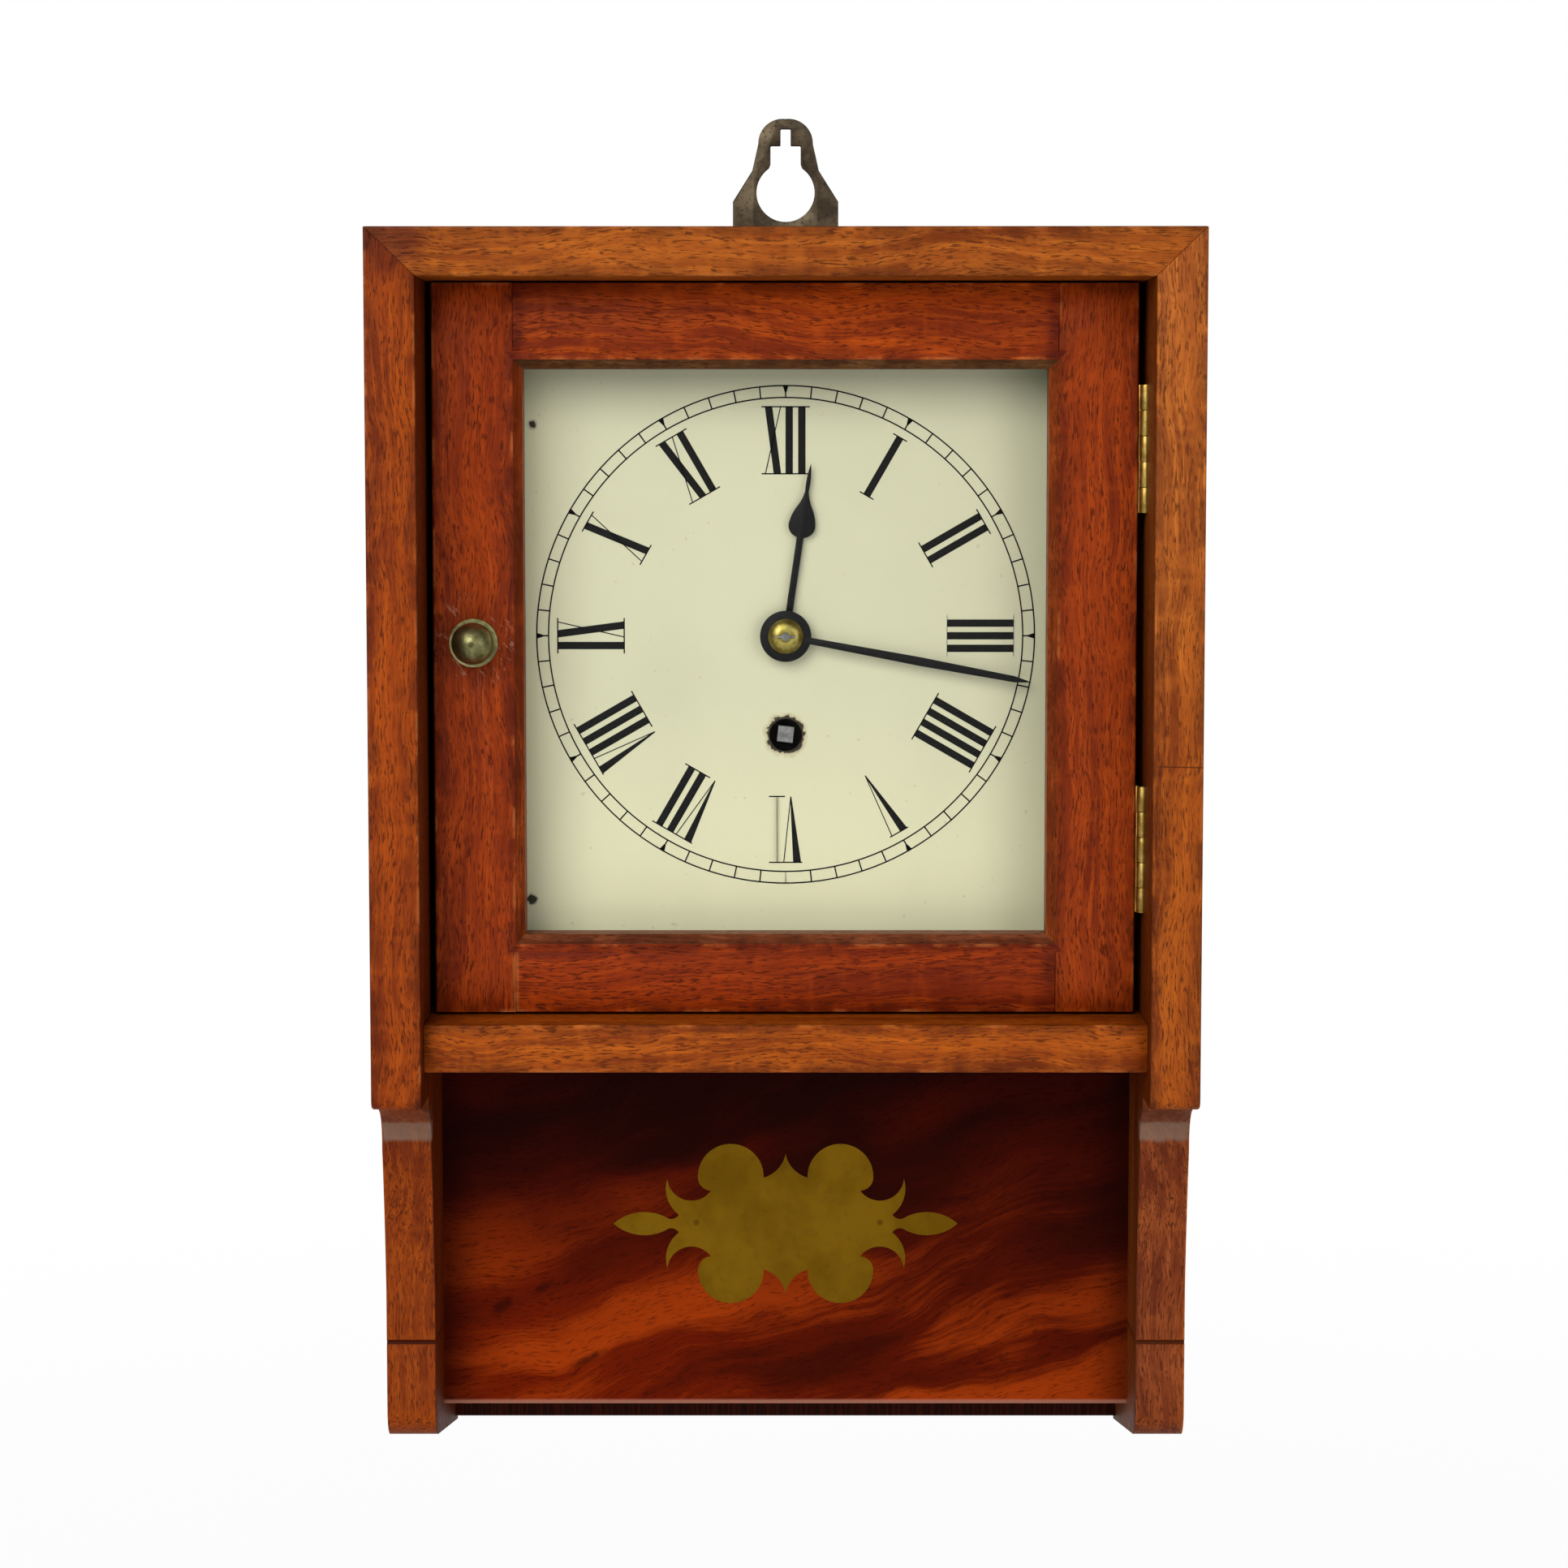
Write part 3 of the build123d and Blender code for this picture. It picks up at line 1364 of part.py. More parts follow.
hour_pipe_front = hour_hand_depth - hand_seat
with BuildPart() as hour_wheel:
    outline = wheel_teeth(centre_at, hour_wheel_teeth, hour_module, minute_wheel_turn)
    hour_wheel_back = hour_wheel_depth + motion_wheel_thickness
    sheet(outline, hour_wheel_depth, hour_wheel_back)
    turned(centre_at, (hour_pipe_radius, hour_pipe_front, hour_wheel_depth))
    pipe_bore = cannon_pipe_radius + running_gap
    turned(centre_at, (pipe_bore, hour_pipe_front, hour_wheel_back), mode=Mode.SUBTRACT)
keep(hour_wheel.part, "hour_wheel")

# Hands, drawn pointing up and turned to the time shown
def on_hand(half_width, reach, points):
    # outline points given as shares of the half width and of the reach
    return [(across * half_width, up * reach) for across, up in points]


spade = [
    [(0.256, 0.572), (0.8, 0.597), (1, 0.642)],
    [(1, 0.642), (0.84, 0.7), (0.6, 0.742)],
    [(0.6, 0.742), (0.3, 0.79), (0.14, 0.84)],
    [(0.14, 0.84), (0.16, 0.9), (0, 1)],
]
with BuildPart() as hour_hand:
    with BuildSketch(facing(hour_hand_depth, centre_at, hour_angle)):
        with BuildLine():
            stem = on_hand(spade_half_width, hour_hand_reach, [(0, 0), (0.256, 0), (0.256, 0.572)])
            Polyline(*stem)
            for stretch in spade:
                ThreePointArc(*on_hand(spade_half_width, hour_hand_reach, stretch))
            mirror(about=Plane.YZ)
        make_face()
        Circle(hour_boss_radius)
        Circle(hour_pipe_radius + seat_gap, mode=Mode.SUBTRACT)
    extrude(amount=-hand_thickness)
keep(hour_hand.part, "hour_hand")

baton = [(0, 0), (0.74, 0), (0.74, 0.1), (1, 0.55), (0.7, 0.93), (0, 1)]
with BuildPart() as minute_hand:
    with BuildSketch(facing(minute_hand_depth, centre_at, minute_angle)):
        with BuildLine():
            Polyline(*on_hand(minute_half_width, minute_hand_reach, baton))
            mirror(about=Plane.YZ)
        make_face()
        Circle(minute_boss_radius)
        Circle(cannon_pipe_radius + seat_gap, mode=Mode.SUBTRACT)
    extrude(amount=-hand_thickness)
keep(minute_hand.part, "minute_hand")

with BuildPart() as hand_collet:
    with BuildSketch(lathe(centre_at)) as drawn:
        with BuildLine():
            bore = centre_tip_radius + seat_gap
            back = minute_hand_depth - hand_seat
            rim_depth = back - collet_rim
            dome = (0.72 * collet_radius, collet_depth + 0.3 * (rim_depth - collet_depth))
            ThreePointArc((bore, collet_depth), dome, (collet_radius, rim_depth))
            Line((collet_radius, rim_depth), (collet_radius, back))
            Line((collet_radius, back), (bore, back))
            Line((bore, back), (bore, collet_depth))
        make_face()
    revolve(drawn.sketch, axis=arbor_axis(centre_at))
keep(hand_collet.part, "hand_collet")

# Door: two full-height stiles with the rails between them
opening = (-opening_half_width, opening_half_width, opening_bottom, opening_top)


def door_openings():
    # bevelled front edge, the clear opening and the glass rebate behind
    middle = (0, (opening_bottom + opening_top) / 2)
    wide = 2 * opening_half_width
    high = opening_top - opening_bottom
    with BuildSketch(facing(door_depth + opening_bevel, middle)) as drawn:
        Rectangle(wide, high)
    extrude(drawn.sketch, amount=opening_bevel, taper=-45, mode=Mode.SUBTRACT)
    block(*opening, door_depth, door_back, Mode.SUBTRACT)
    grown = (
        -opening_half_width - rebate_width,
        opening_half_width + rebate_width,
        opening_bottom - rebate_width,
        opening_top + rebate_width,
    )
    block(*grown, glass_depth, door_back, Mode.SUBTRACT)


with BuildPart() as door_left_stile:
    block(door_left, -opening_half_width, door_bottom, door_top, door_depth, door_back)
    outer_edges = door_left_stile.edges().filter_by(Axis.Z).group_by(Axis.X)[0]
    fillet(outer_edges.group_by(Axis.Y)[0], board_edge_round)
    door_openings()
    knob_at = (knob_x, knob_height)
    turned(knob_at, (spindle_radius + running_gap, door_depth, door_back), mode=Mode.SUBTRACT)
keep(door_left_stile.part, "door_left_stile")

with BuildPart() as door_right_stile:
    block(opening_half_width, door_right, door_bottom, door_top, door_depth, door_back)
    outer_edges = door_right_stile.edges().filter_by(Axis.Z).group_by(Axis.X)[-1]
    fillet(outer_edges.group_by(Axis.Y)[0], board_edge_round)
    door_openings()
keep(door_right_stile.part, "door_right_stile")

with BuildPart() as door_top_rail:
    block(-opening_half_width, opening_half_width, opening_top, door_top, door_depth, door_back)
    door_openings()
keep(door_top_rail.part, "door_top_rail")

with BuildPart() as door_bottom_rail:
    block(-opening_half_width, opening_half_width, door_bottom, opening_bottom, door_depth, door_back)
    door_openings()
keep(door_bottom_rail.part, "door_bottom_rail")

rebate_left = -opening_half_width - rebate_width
rebate_right = -rebate_left
rebate_bottom = opening_bottom - rebate_width
rebate_top = opening_top + rebate_width
with BuildPart() as door_glass:
    block(
        rebate_left + glass_gap,
        rebate_right - glass_gap,
        rebate_bottom + glass_gap,
        rebate_top - glass_gap,
        glass_depth,
        bead_depth,
    )
keep(door_glass.part, "door_glass")

with BuildPart() as glazing_beads:
    for side in (-1, 1):
        edges = sorted((side * opening_half_width, side * rebate_right))
        block(*edges, opening_bottom + bead_joint, opening_top - bead_joint, bead_depth, door_back)
    block(rebate_left, rebate_right, rebate_bottom, opening_bottom, bead_depth, door_back)
    block(rebate_left, rebate_right, opening_top, rebate_top, bead_depth, door_back)
keep(glazing_beads.part, "glazing_beads")

# Turned knob, its spindle and the catch behind the stile
with BuildPart() as door_knob:
    with BuildSketch(lathe(knob_at)) as drawn:
        front = door_depth - knob_projection
        rim_back = door_depth - knob_seat
        rim_front = rim_back - knob_rim_thickness
        spindle_end = catch_depth + catch_thickness + spindle_overhang
        with BuildLine():
            widest = front + 0.62 * (rim_front - front)
            dome = (0.74 * knob_radius, front + 0.19 * knob_projection)
            ThreePointArc((0, front), dome, (knob_radius, widest))
            ThreePointArc(
                (knob_radius, widest),
                (0.88 * knob_radius, widest + 0.7 * (rim_front - widest)),
                (knob_neck_radius, rim_front),
            )
            Polyline(
                (knob_neck_radius, rim_front),
                (knob_rim_radius, rim_front),
                (knob_rim_radius, rim_back),
                (spindle_radius, rim_back),
                (spindle_radius, spindle_end),
                (0, spindle_end),
                (0, front),
            )
        make_face()
    revolve(drawn.sketch, axis=arbor_axis(knob_at))
keep(door_knob.part, "door_knob")

with BuildPart() as catch_arm:
    half = catch_width / 2
    catch_back = catch_depth + catch_thickness
    turned(knob_at, (half + catch_eye_margin, catch_depth, catch_back))
    block(knob_x - half, knob_x + half, knob_height - catch_length, knob_height, catch_depth, catch_back)
    turned(knob_at, (spindle_radius + seat_gap, catch_depth, catch_back), mode=Mode.SUBTRACT)
keep(catch_arm.part, "catch_arm")


# Butt hinges: knuckles shared between the leaf on the case and the leaf on the door
def knuckles(height, first):
    pitch = hinge_length / knuckle_count
    spans = []
    for number in range(first, knuckle_count, 2):
        low = height - hinge_length / 2 + number * pitch
        spans.append((low + knuckle_gap / 2, low + pitch - knuckle_gap / 2))
    return spans


def hinge_leaf(height, first, inner, outer):
    # plate behind the knuckles, tongues that reach the knuckles, and their bore
    low = height - hinge_length / 2
    block(inner, outer, low, low + hinge_length, leaf_front, leaf_back)
    for start, end in knuckles(height, first):
        block(inner, outer, start, end, hinge_depth, leaf_front)
        with BuildSketch(Plane.XY.offset(start)) as drawn:
            with Locations((hinge_x, y_at(hinge_depth))):
                Circle(knuckle_radius)
        extrude(drawn.sketch, amount=end - start)
    with BuildSketch(Plane.XY.offset(low)) as drawn:
        with Locations((hinge_x, y_at(hinge_depth))):
            Circle(hinge_pin_radius + running_gap)
    extrude(drawn.sketch, amount=hinge_length, mode=Mode.SUBTRACT)


with BuildPart() as hinge_case_leaves:
    for height in hinge_heights:
        hinge_leaf(height, 0, inside_half, inside_half + hinge_leaf_thickness)
keep(hinge_case_leaves.part, "hinge_case_leaves")

with BuildPart() as hinge_door_leaves:
    for height in hinge_heights:
        hinge_leaf(height, 1, door_right, door_right + hinge_leaf_thickness)
keep(hinge_door_leaves.part, "hinge_door_leaves")

with BuildPart() as hinge_pins:
    for height in hinge_heights:
        with BuildSketch(Plane.XY.offset(height - hinge_length / 2)) as drawn:
            with Locations((hinge_x, y_at(hinge_depth))):
                Circle(hinge_pin_radius)
        extrude(drawn.sketch, amount=hinge_length)
keep(hinge_pins.part, "hinge_pins")
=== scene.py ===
import bpy
import json
from math import cos, pi, radians, sin
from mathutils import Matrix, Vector


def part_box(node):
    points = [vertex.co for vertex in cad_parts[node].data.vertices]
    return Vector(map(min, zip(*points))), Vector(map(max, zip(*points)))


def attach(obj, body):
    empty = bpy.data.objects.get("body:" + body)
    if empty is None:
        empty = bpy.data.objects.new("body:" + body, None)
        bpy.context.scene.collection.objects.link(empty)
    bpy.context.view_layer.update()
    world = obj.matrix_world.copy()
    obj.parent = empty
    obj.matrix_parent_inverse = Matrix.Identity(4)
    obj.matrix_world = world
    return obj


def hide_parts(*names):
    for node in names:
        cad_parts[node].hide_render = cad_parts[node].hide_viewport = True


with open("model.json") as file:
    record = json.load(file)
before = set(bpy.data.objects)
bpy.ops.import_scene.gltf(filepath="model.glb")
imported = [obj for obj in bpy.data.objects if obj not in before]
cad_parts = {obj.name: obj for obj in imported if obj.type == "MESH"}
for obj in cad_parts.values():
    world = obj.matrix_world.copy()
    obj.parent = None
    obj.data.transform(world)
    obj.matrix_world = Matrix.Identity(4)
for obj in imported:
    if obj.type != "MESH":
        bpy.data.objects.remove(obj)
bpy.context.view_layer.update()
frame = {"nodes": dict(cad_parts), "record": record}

nodes = frame["nodes"]
bodies = frame["record"]["behaviour"]["bodies"]
bodyOf = {node: body for body, members in bodies.items() for node in members}
slotOf = {part["node"]: part["material_slot"] for part in frame["record"]["subparts"]}
print("clock: frame loaded,", len(nodes), "nodes")

mm = 0.001
caseFront = -114.0  # y of the case boards' front edges, mm
dialFace = -63.5  # y of the painted dial, mm


def srgb(red, green, blue):
    # a colour read off in 0 to 255 as the renderer's linear value
    def linear(value):
        share = value / 255
        return share / 12.92 if share <= 0.04045 else ((share + 0.055) / 1.055) ** 2.4
    return (linear(red), linear(green), linear(blue), 1.0)


# wires for building shaders as plain sums
class Wire:
    def __init__(self, tree, socket=None):
        self.tree = tree
        self.socket = socket

    def make(self, kind, settings=None, sockets=None, out=0):
        node = self.tree.nodes.new(kind)
        for name, value in (settings or {}).items():
            setattr(node, name, value)
        for name, value in (sockets or {}).items():
            if isinstance(value, Wire):
                self.tree.links.new(value.socket, node.inputs[name])
            else:
                node.inputs[name].default_value = value
        return Wire(self.tree, node.outputs[out])

    def math(self, operation, *values):
        return self.make("ShaderNodeMath", {"operation": operation}, dict(enumerate(values)))

    def __add__(self, other):
        return self.math("ADD", self, other)

    def __radd__(self, other):
        return self.math("ADD", other, self)

    def __sub__(self, other):
        return self.math("SUBTRACT", self, other)

    def __rsub__(self, other):
        return self.math("SUBTRACT", other, self)

    def __mul__(self, other):
        return self.math("MULTIPLY", self, other)

    def __rmul__(self, other):
        return self.math("MULTIPLY", other, self)

    def __pow__(self, other):
        return self.math("POWER", self, other)

    def __abs__(self):
        return self.math("ABSOLUTE", self)


def smooth(value, low, high):
    # 0 below low, 1 above high; low may be the larger one
    settings = {"interpolation_type": "SMOOTHSTEP"}
    sockets = {"Value": value, "From Min": low, "From Max": high}
    if low > high:
        sockets = {"Value": value, "From Min": high, "From Max": low, "To Min": 1.0, "To Max": 0.0}
    return value.make("ShaderNodeMapRange", settings, sockets)


def lower(one, two):
    return one.math("MINIMUM", one, two)


def upper(one, two):
    return one.math("MAXIMUM", one, two)


def blend(share, one, two, kind="MIX"):
    settings = {"data_type": "RGBA", "blend_type": kind, "clamp_factor": True}
    return share.make("ShaderNodeMix", settings, {0: share, 6: one, 7: two}, 2)


def noise(wire, place, scale, detail=3.0, rough=0.55):
    sockets = {"Vector": place, "Scale": scale, "Detail": detail, "Roughness": rough}
    return wire.make("ShaderNodeTexNoise", {}, sockets)


def millimetres(wire):
    objectAt = wire.make("ShaderNodeTexCoord", {}, {}, 3)
    return objectAt.make("ShaderNodeVectorMath", {"operation": "SCALE"}, {0: objectAt, "Scale": 1000.0})


def axes(place):
    return [place.make("ShaderNodeSeparateXYZ", {}, {0: place}, index) for index in range(3)]


def joined(x, y, z):
    wire = next(value for value in (x, y, z) if isinstance(value, Wire))
    return wire.make("ShaderNodeCombineXYZ", {}, {0: x, 1: y, 2: z})


def boxEdge(place, node):
    # distance in mm to the nearest straight edge of a node's box
    low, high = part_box(node)
    gaps = []
    for index, value in enumerate(axes(place)):
        gaps.append(lower(abs(value - low[index] * 1000), abs(high[index] * 1000 - value)))
    x, y, z = gaps
    return upper(lower(x, y), lower(upper(x, y), z))


def newMaterial(name, finish):
    # finish(wire, shader) fills the shader's sockets
    material = bpy.data.materials.new(name)
    material.use_nodes = True
    tree = material.node_tree
    tree.nodes.clear()
    shader = tree.nodes.new("ShaderNodeBsdfPrincipled")
    output = tree.nodes.new("ShaderNodeOutputMaterial")
    tree.links.new(shader.outputs[0], output.inputs[0])
    finish(Wire(tree), shader)
    return material


def plug(shader, name, value):
    value.tree.links.new(value.socket, shader.inputs[name])


def bumpOf(wire, height, distance, strength):
    sockets = {"Strength": strength, "Distance": distance, "Height": height}
    return wire.make("ShaderNodeBump", {}, sockets)


# wood
boardLooks = {
    # foot: painted shade multiplied into the front of a side board's lower end
    "left_side_board": dict(
        colour=srgb(155, 64, 4), grain=2, shift=11.0, lean=0.0, shadedGrooves=(-216.5,),
        foot=(0.84, 0.86, 0.95), inner=107.5, corner=(0.50, 0.42, 0.80)),
    # low: painted shade multiplied into this board's lower half
    "right_side_board": dict(
        colour=srgb(176, 92, 26), grain=2, shift=37.0, lean=0.0, shadedGrooves=(-216.5,),
        foot=(0.58, 0.48, 0.95), inner=107.5, score=-36.1, low=(0.80, 0.66, 0.42)),
    "top_board": dict(colour=srgb(166, 84, 20), grain=0, shift=3.0, lean=0.0, corner=(0.52, 0.45, 1.0)),
    "bottom_board": dict(colour=srgb(168, 78, 10), grain=0, shift=59.0, lean=0.0),
    "door_top_rail": dict(colour=srgb(172, 66, 3), grain=0, shift=71.0, lean=0.06, end=(0.66, 0.44, 0.30)),
    "door_bottom_rail": dict(colour=srgb(149, 51, 2), grain=0, shift=97.0, lean=-0.05),
    "door_left_stile": dict(colour=srgb(156, 56, 3), grain=2, shift=113.0, lean=0.0, scuff=(-93.3, -1.0)),
    "door_right_stile": dict(colour=srgb(157, 58, 4), grain=2, shift=131.0, lean=0.0),
    "glazing_beads": dict(colour=srgb(104, 36, 8), grain=2, shift=151.0, lean=0.0),
    "box_floor": dict(colour=srgb(58, 16, 3), grain=0, shift=173.0, lean=0.0),
}
woodLook = dict(poreDepth=0.72, figure=0.8, edgeWear=0.34, sheen=0.10)
sideEndLook = dict(
    below=(-138.5, -141.5),  # z over which the shaped lower end begins, mm
    front=(-58.0, -72.0),  # y over which the painted shade on its front begins
    outside=(122.4, 121.9),  # x over which its outer face is left out
    notchSide=(109.7, 109.1),  # x and z of the painted shadow strip beside the bottom board
    notchTop=(-133.5, -136.0),
    notchFoot=(-143.0, -142.0),
    coveFront=(-96.0, -92.0),  # y and z of the cove's painted highlight and of the painted shadow over it
    coveBack=(-78.0, -83.0),
    shadowTop=(-141.0, -142.0),
    shadowFoot=(-147.0, -145.8),
    coveTop=(-145.8, -147.0),
    coveFoot=(-153.2, -151.4),
    # colours of the painted shadow and of the painted highlight, the pale floor reflected in the cove
    shadow=srgb(96, 66, 54),
    shine=srgb(128, 108, 92),
)
markLook = dict(
    lowShadeFrom=(30.0, -50.0),  # z over which a board's lower half takes its painted shade, mm
    lowEnd=(-141.0, -137.0),
    cornerAt=(-115.0, 118.5),  # x and z of the dark top corner, and its reach
    cornerReach=(13.5, 7.0),
    railEnd=(74.0, 83.0),  # x over which a rail darkens to its joint
    scoreFrom=(108.0, 110.0),
    scoreMiddle=115.0,
    scoreSlope=0.02,
    scuffReach=(15.5, 8.5),
    scratch=srgb(168, 120, 96),
)


def grainPlace(place, grain, shift, lean, squeeze):
    # the place with the grain's way squeezed, so that spots become streaks
    x, y, z = axes(place)
    if grain == 0:
        return joined(x * squeeze + shift, y, z + x * lean)
    return joined(x + z * lean, y, z * squeeze + shift)


def tint(colour, shares):
    return tuple(min(1.0, value * share) for value, share in zip(colour[:3], shares)) + (1.0,)


def sideEnd(colour, place, look, porous):
    # painted shade on the front of a side board's lower end and on its whole inner face, a painted shadow
    # strip beside the bottom board, and a painted shadow over a painted highlight, the pale floor's
    # reflection, in its cove
    x, y, z = axes(place)
    outside = smooth(abs(x), *sideEndLook["outside"])
    # painted shade on the front of the lower end
    front = smooth(z, *sideEndLook["below"]) * smooth(y, *sideEndLook["front"]) * outside
    colour = blend(front, colour, (*look["foot"], 1.0), "MULTIPLY")
    # painted shade on the inner face, and a painted shadow strip beside the bottom board
    innerFaceShade = smooth(abs(abs(x) - look["inner"]), 0.45, 0.15)
    notchShadow = smooth(abs(x), *sideEndLook["notchSide"]) * smooth(z, *sideEndLook["notchTop"])
    notchShadow = notchShadow * smooth(z, *sideEndLook["notchFoot"])
    colour = blend(upper(innerFaceShade, notchShadow) * 0.72, colour, porous)
    # painted shadow under the fillet, then a painted highlight in the cove: the pale floor's reflection
    edgeOn = smooth(y, *sideEndLook["coveFront"]) * smooth(y, *sideEndLook["coveBack"]) * outside
    wavy = z + (noise(place, place, 0.35, 2.0) - 0.5) * 1.6
    shadow = smooth(wavy, *sideEndLook["shadowFoot"]) * edgeOn * smooth(z, *sideEndLook["shadowTop"])
    colour = blend(shadow * 0.35, colour, sideEndLook["shadow"])
    cove = smooth(wavy, *sideEndLook["coveFoot"]) * smooth(wavy, *sideEndLook["coveTop"])
    return blend(cove * edgeOn * 0.66, colour, sideEndLook["shine"])


def boardMarks(colour, place, look, porous, spots):
    # painted shade along each groove and over the lower half, other changes of tone and the scored line of
    # one board
    x, y, z = axes(place)
    # painted shade: a dark line along each groove
    for height in look.get("shadedGrooves", ()):
        colour = blend(smooth(abs(z - height), 0.85, 0.5), colour, porous)
    # painted shade over the lower half
    if "low" in look:
        lowerHalfShade = smooth(z, *markLook["lowShadeFrom"]) * smooth(z, *markLook["lowEnd"])
        colour = blend(lowerHalfShade, colour, (*look["low"], 1.0), "MULTIPLY")
    if "corner" in look:
        left, height = markLook["cornerAt"]
        away = ((x - left) ** 2.0 + (z - height) ** 2.0) ** 0.5 + (spots - 0.5) * 9.0
        colour = blend(smooth(away, *markLook["cornerReach"]), colour, (*look["corner"], 1.0), "MULTIPLY")
    if "end" in look:
        colour = blend(smooth(abs(x), *markLook["railEnd"]), colour, (*look["end"], 1.0), "MULTIPLY")
    if "score" in look:
        tilt = (x - markLook["scoreMiddle"]) * markLook["scoreSlope"]
        line = smooth(abs(z - look["score"] + tilt), 0.30, 0.12)
        colour = blend(line * smooth(x, *markLook["scoreFrom"]) * 0.8, colour, porous)
    return colour


def mahogany(node, look):
    def finish(wire, shader):
        place = millimetres(wire)
        x, y, z = axes(place)
        bend = (noise(wire, place, 0.016, 2.0) - 0.5) * 16.0
        if look["grain"] == 2:
            bent = joined(x + bend, y + bend * 0.5, z)
        else:
            bent = joined(x, y + bend * 0.5, z + bend)
        grain, shift, lean = look["grain"], look["shift"], look["lean"]
        figure = noise(wire, grainPlace(bent, grain, shift, lean, 0.11), 0.085, 4.0, 0.6)
        streak = noise(wire, grainPlace(bent, grain, shift * 3, lean, 0.035), 0.50, 5.0, 0.66)
        fibre = noise(wire, grainPlace(bent, grain, shift * 4, lean, 0.06), 1.7, 3.0, 0.6)
        pore = noise(wire, grainPlace(bent, grain, shift * 5, lean, 0.14), 2.1, 2.0, 0.5)
        ripple = noise(wire, grainPlace(bent, 2 - grain, shift * 7, 0.0, 0.22), 0.16, 2.0)
        flecks = smooth(pore, 0.54, 0.63) * smooth(streak, 0.30, 0.55)
        base = look["colour"]
        dark = tint(base, (0.46, 0.34, 0.30))
        pale = tint(base, (1.34, 1.55, 1.75))
        porous = tint(base, (0.16, 0.12, 0.12))
        colour = blend(smooth(figure, 0.34, 0.62), dark, base)
        colour = blend(smooth(streak, 0.40, 0.70) * woodLook["figure"], colour, pale)
        colour = blend(smooth(fibre, 0.55, 0.40) * 0.38, colour, dark)
        colour = blend(smooth(ripple, 0.48, 0.72) * 0.28, colour, pale)
        colour = blend(flecks * woodLook["poreDepth"], colour, porous)
        edge = boxEdge(place, node)
        spots = noise(wire, place, 0.09, 4.0)
        rub = smooth(edge, 1.3, 0.2) * smooth(spots, 0.50, 0.66)
        grime = smooth(edge, 5.5, 0.6) * smooth(spots, 0.64, 0.40)
        colour = blend(grime * 0.55, colour, porous)
        colour = blend(rub * look.get("wear", woodLook["edgeWear"]), colour, srgb(206, 128, 66))
        if "foot" in look:
            colour = sideEnd(colour, place, look, porous)
        colour = boardMarks(colour, place, look, porous, spots)
        rough = 0.38 + flecks * 0.2 + rub * 0.2 + spots * 0.10
        if "scuff" in look:
            left, height = look["scuff"]
            away = ((x - left) ** 2.0 + (z - height) ** 2.0 * 0.8) ** 0.5
            nick = noise(wire, joined(x + z * 0.7, y, z * 0.35), 0.75, 3.0, 0.7)
            near = smooth(away, *markLook["scuffReach"])
            scratched = smooth(nick, 0.60, 0.66) * near
            colour = blend(near * 0.30, colour, porous)
            colour = blend(scratched * 0.65, colour, markLook["scratch"])
            rough = rough + scratched * 0.25
        plug(shader, "Base Color", colour)
        plug(shader, "Roughness", rough)
        shader.inputs["Specular IOR Level"].default_value = woodLook["sheen"]
        height = flecks * -0.7 + streak * 0.35
        plug(shader, "Normal", bumpOf(wire, height, 0.00009, 0.8))
    return newMaterial("mahogany_" + look.get("label", node), finish)


panelLook = dict(
    dark=srgb(34, 4, 1),
    middle=srgb(72, 11, 1),
    warm=srgb(117, 28, 1),
    flame=srgb(168, 62, 10),
    litArris=srgb(178, 118, 96),
    liftFrom=(-158.0, -232.0),  # z over which the panel's painted light grows towards its foot, mm
    lightSide=(40.0, -100.0),  # x over which the painted light grows towards its left
    topShade=(-152.0, -124.0),
    endShade=(94.0, 107.5),
    arrisFrom=(-241.0, -242.2),
    # x, z, radius and slant of each knot
    knots=((-89.0, -211.5, 1.5, 0.2), (-76.0, -205.5, 0.9, 0.4), (-62.0, -228.5, 1.1, 1.6)),
)


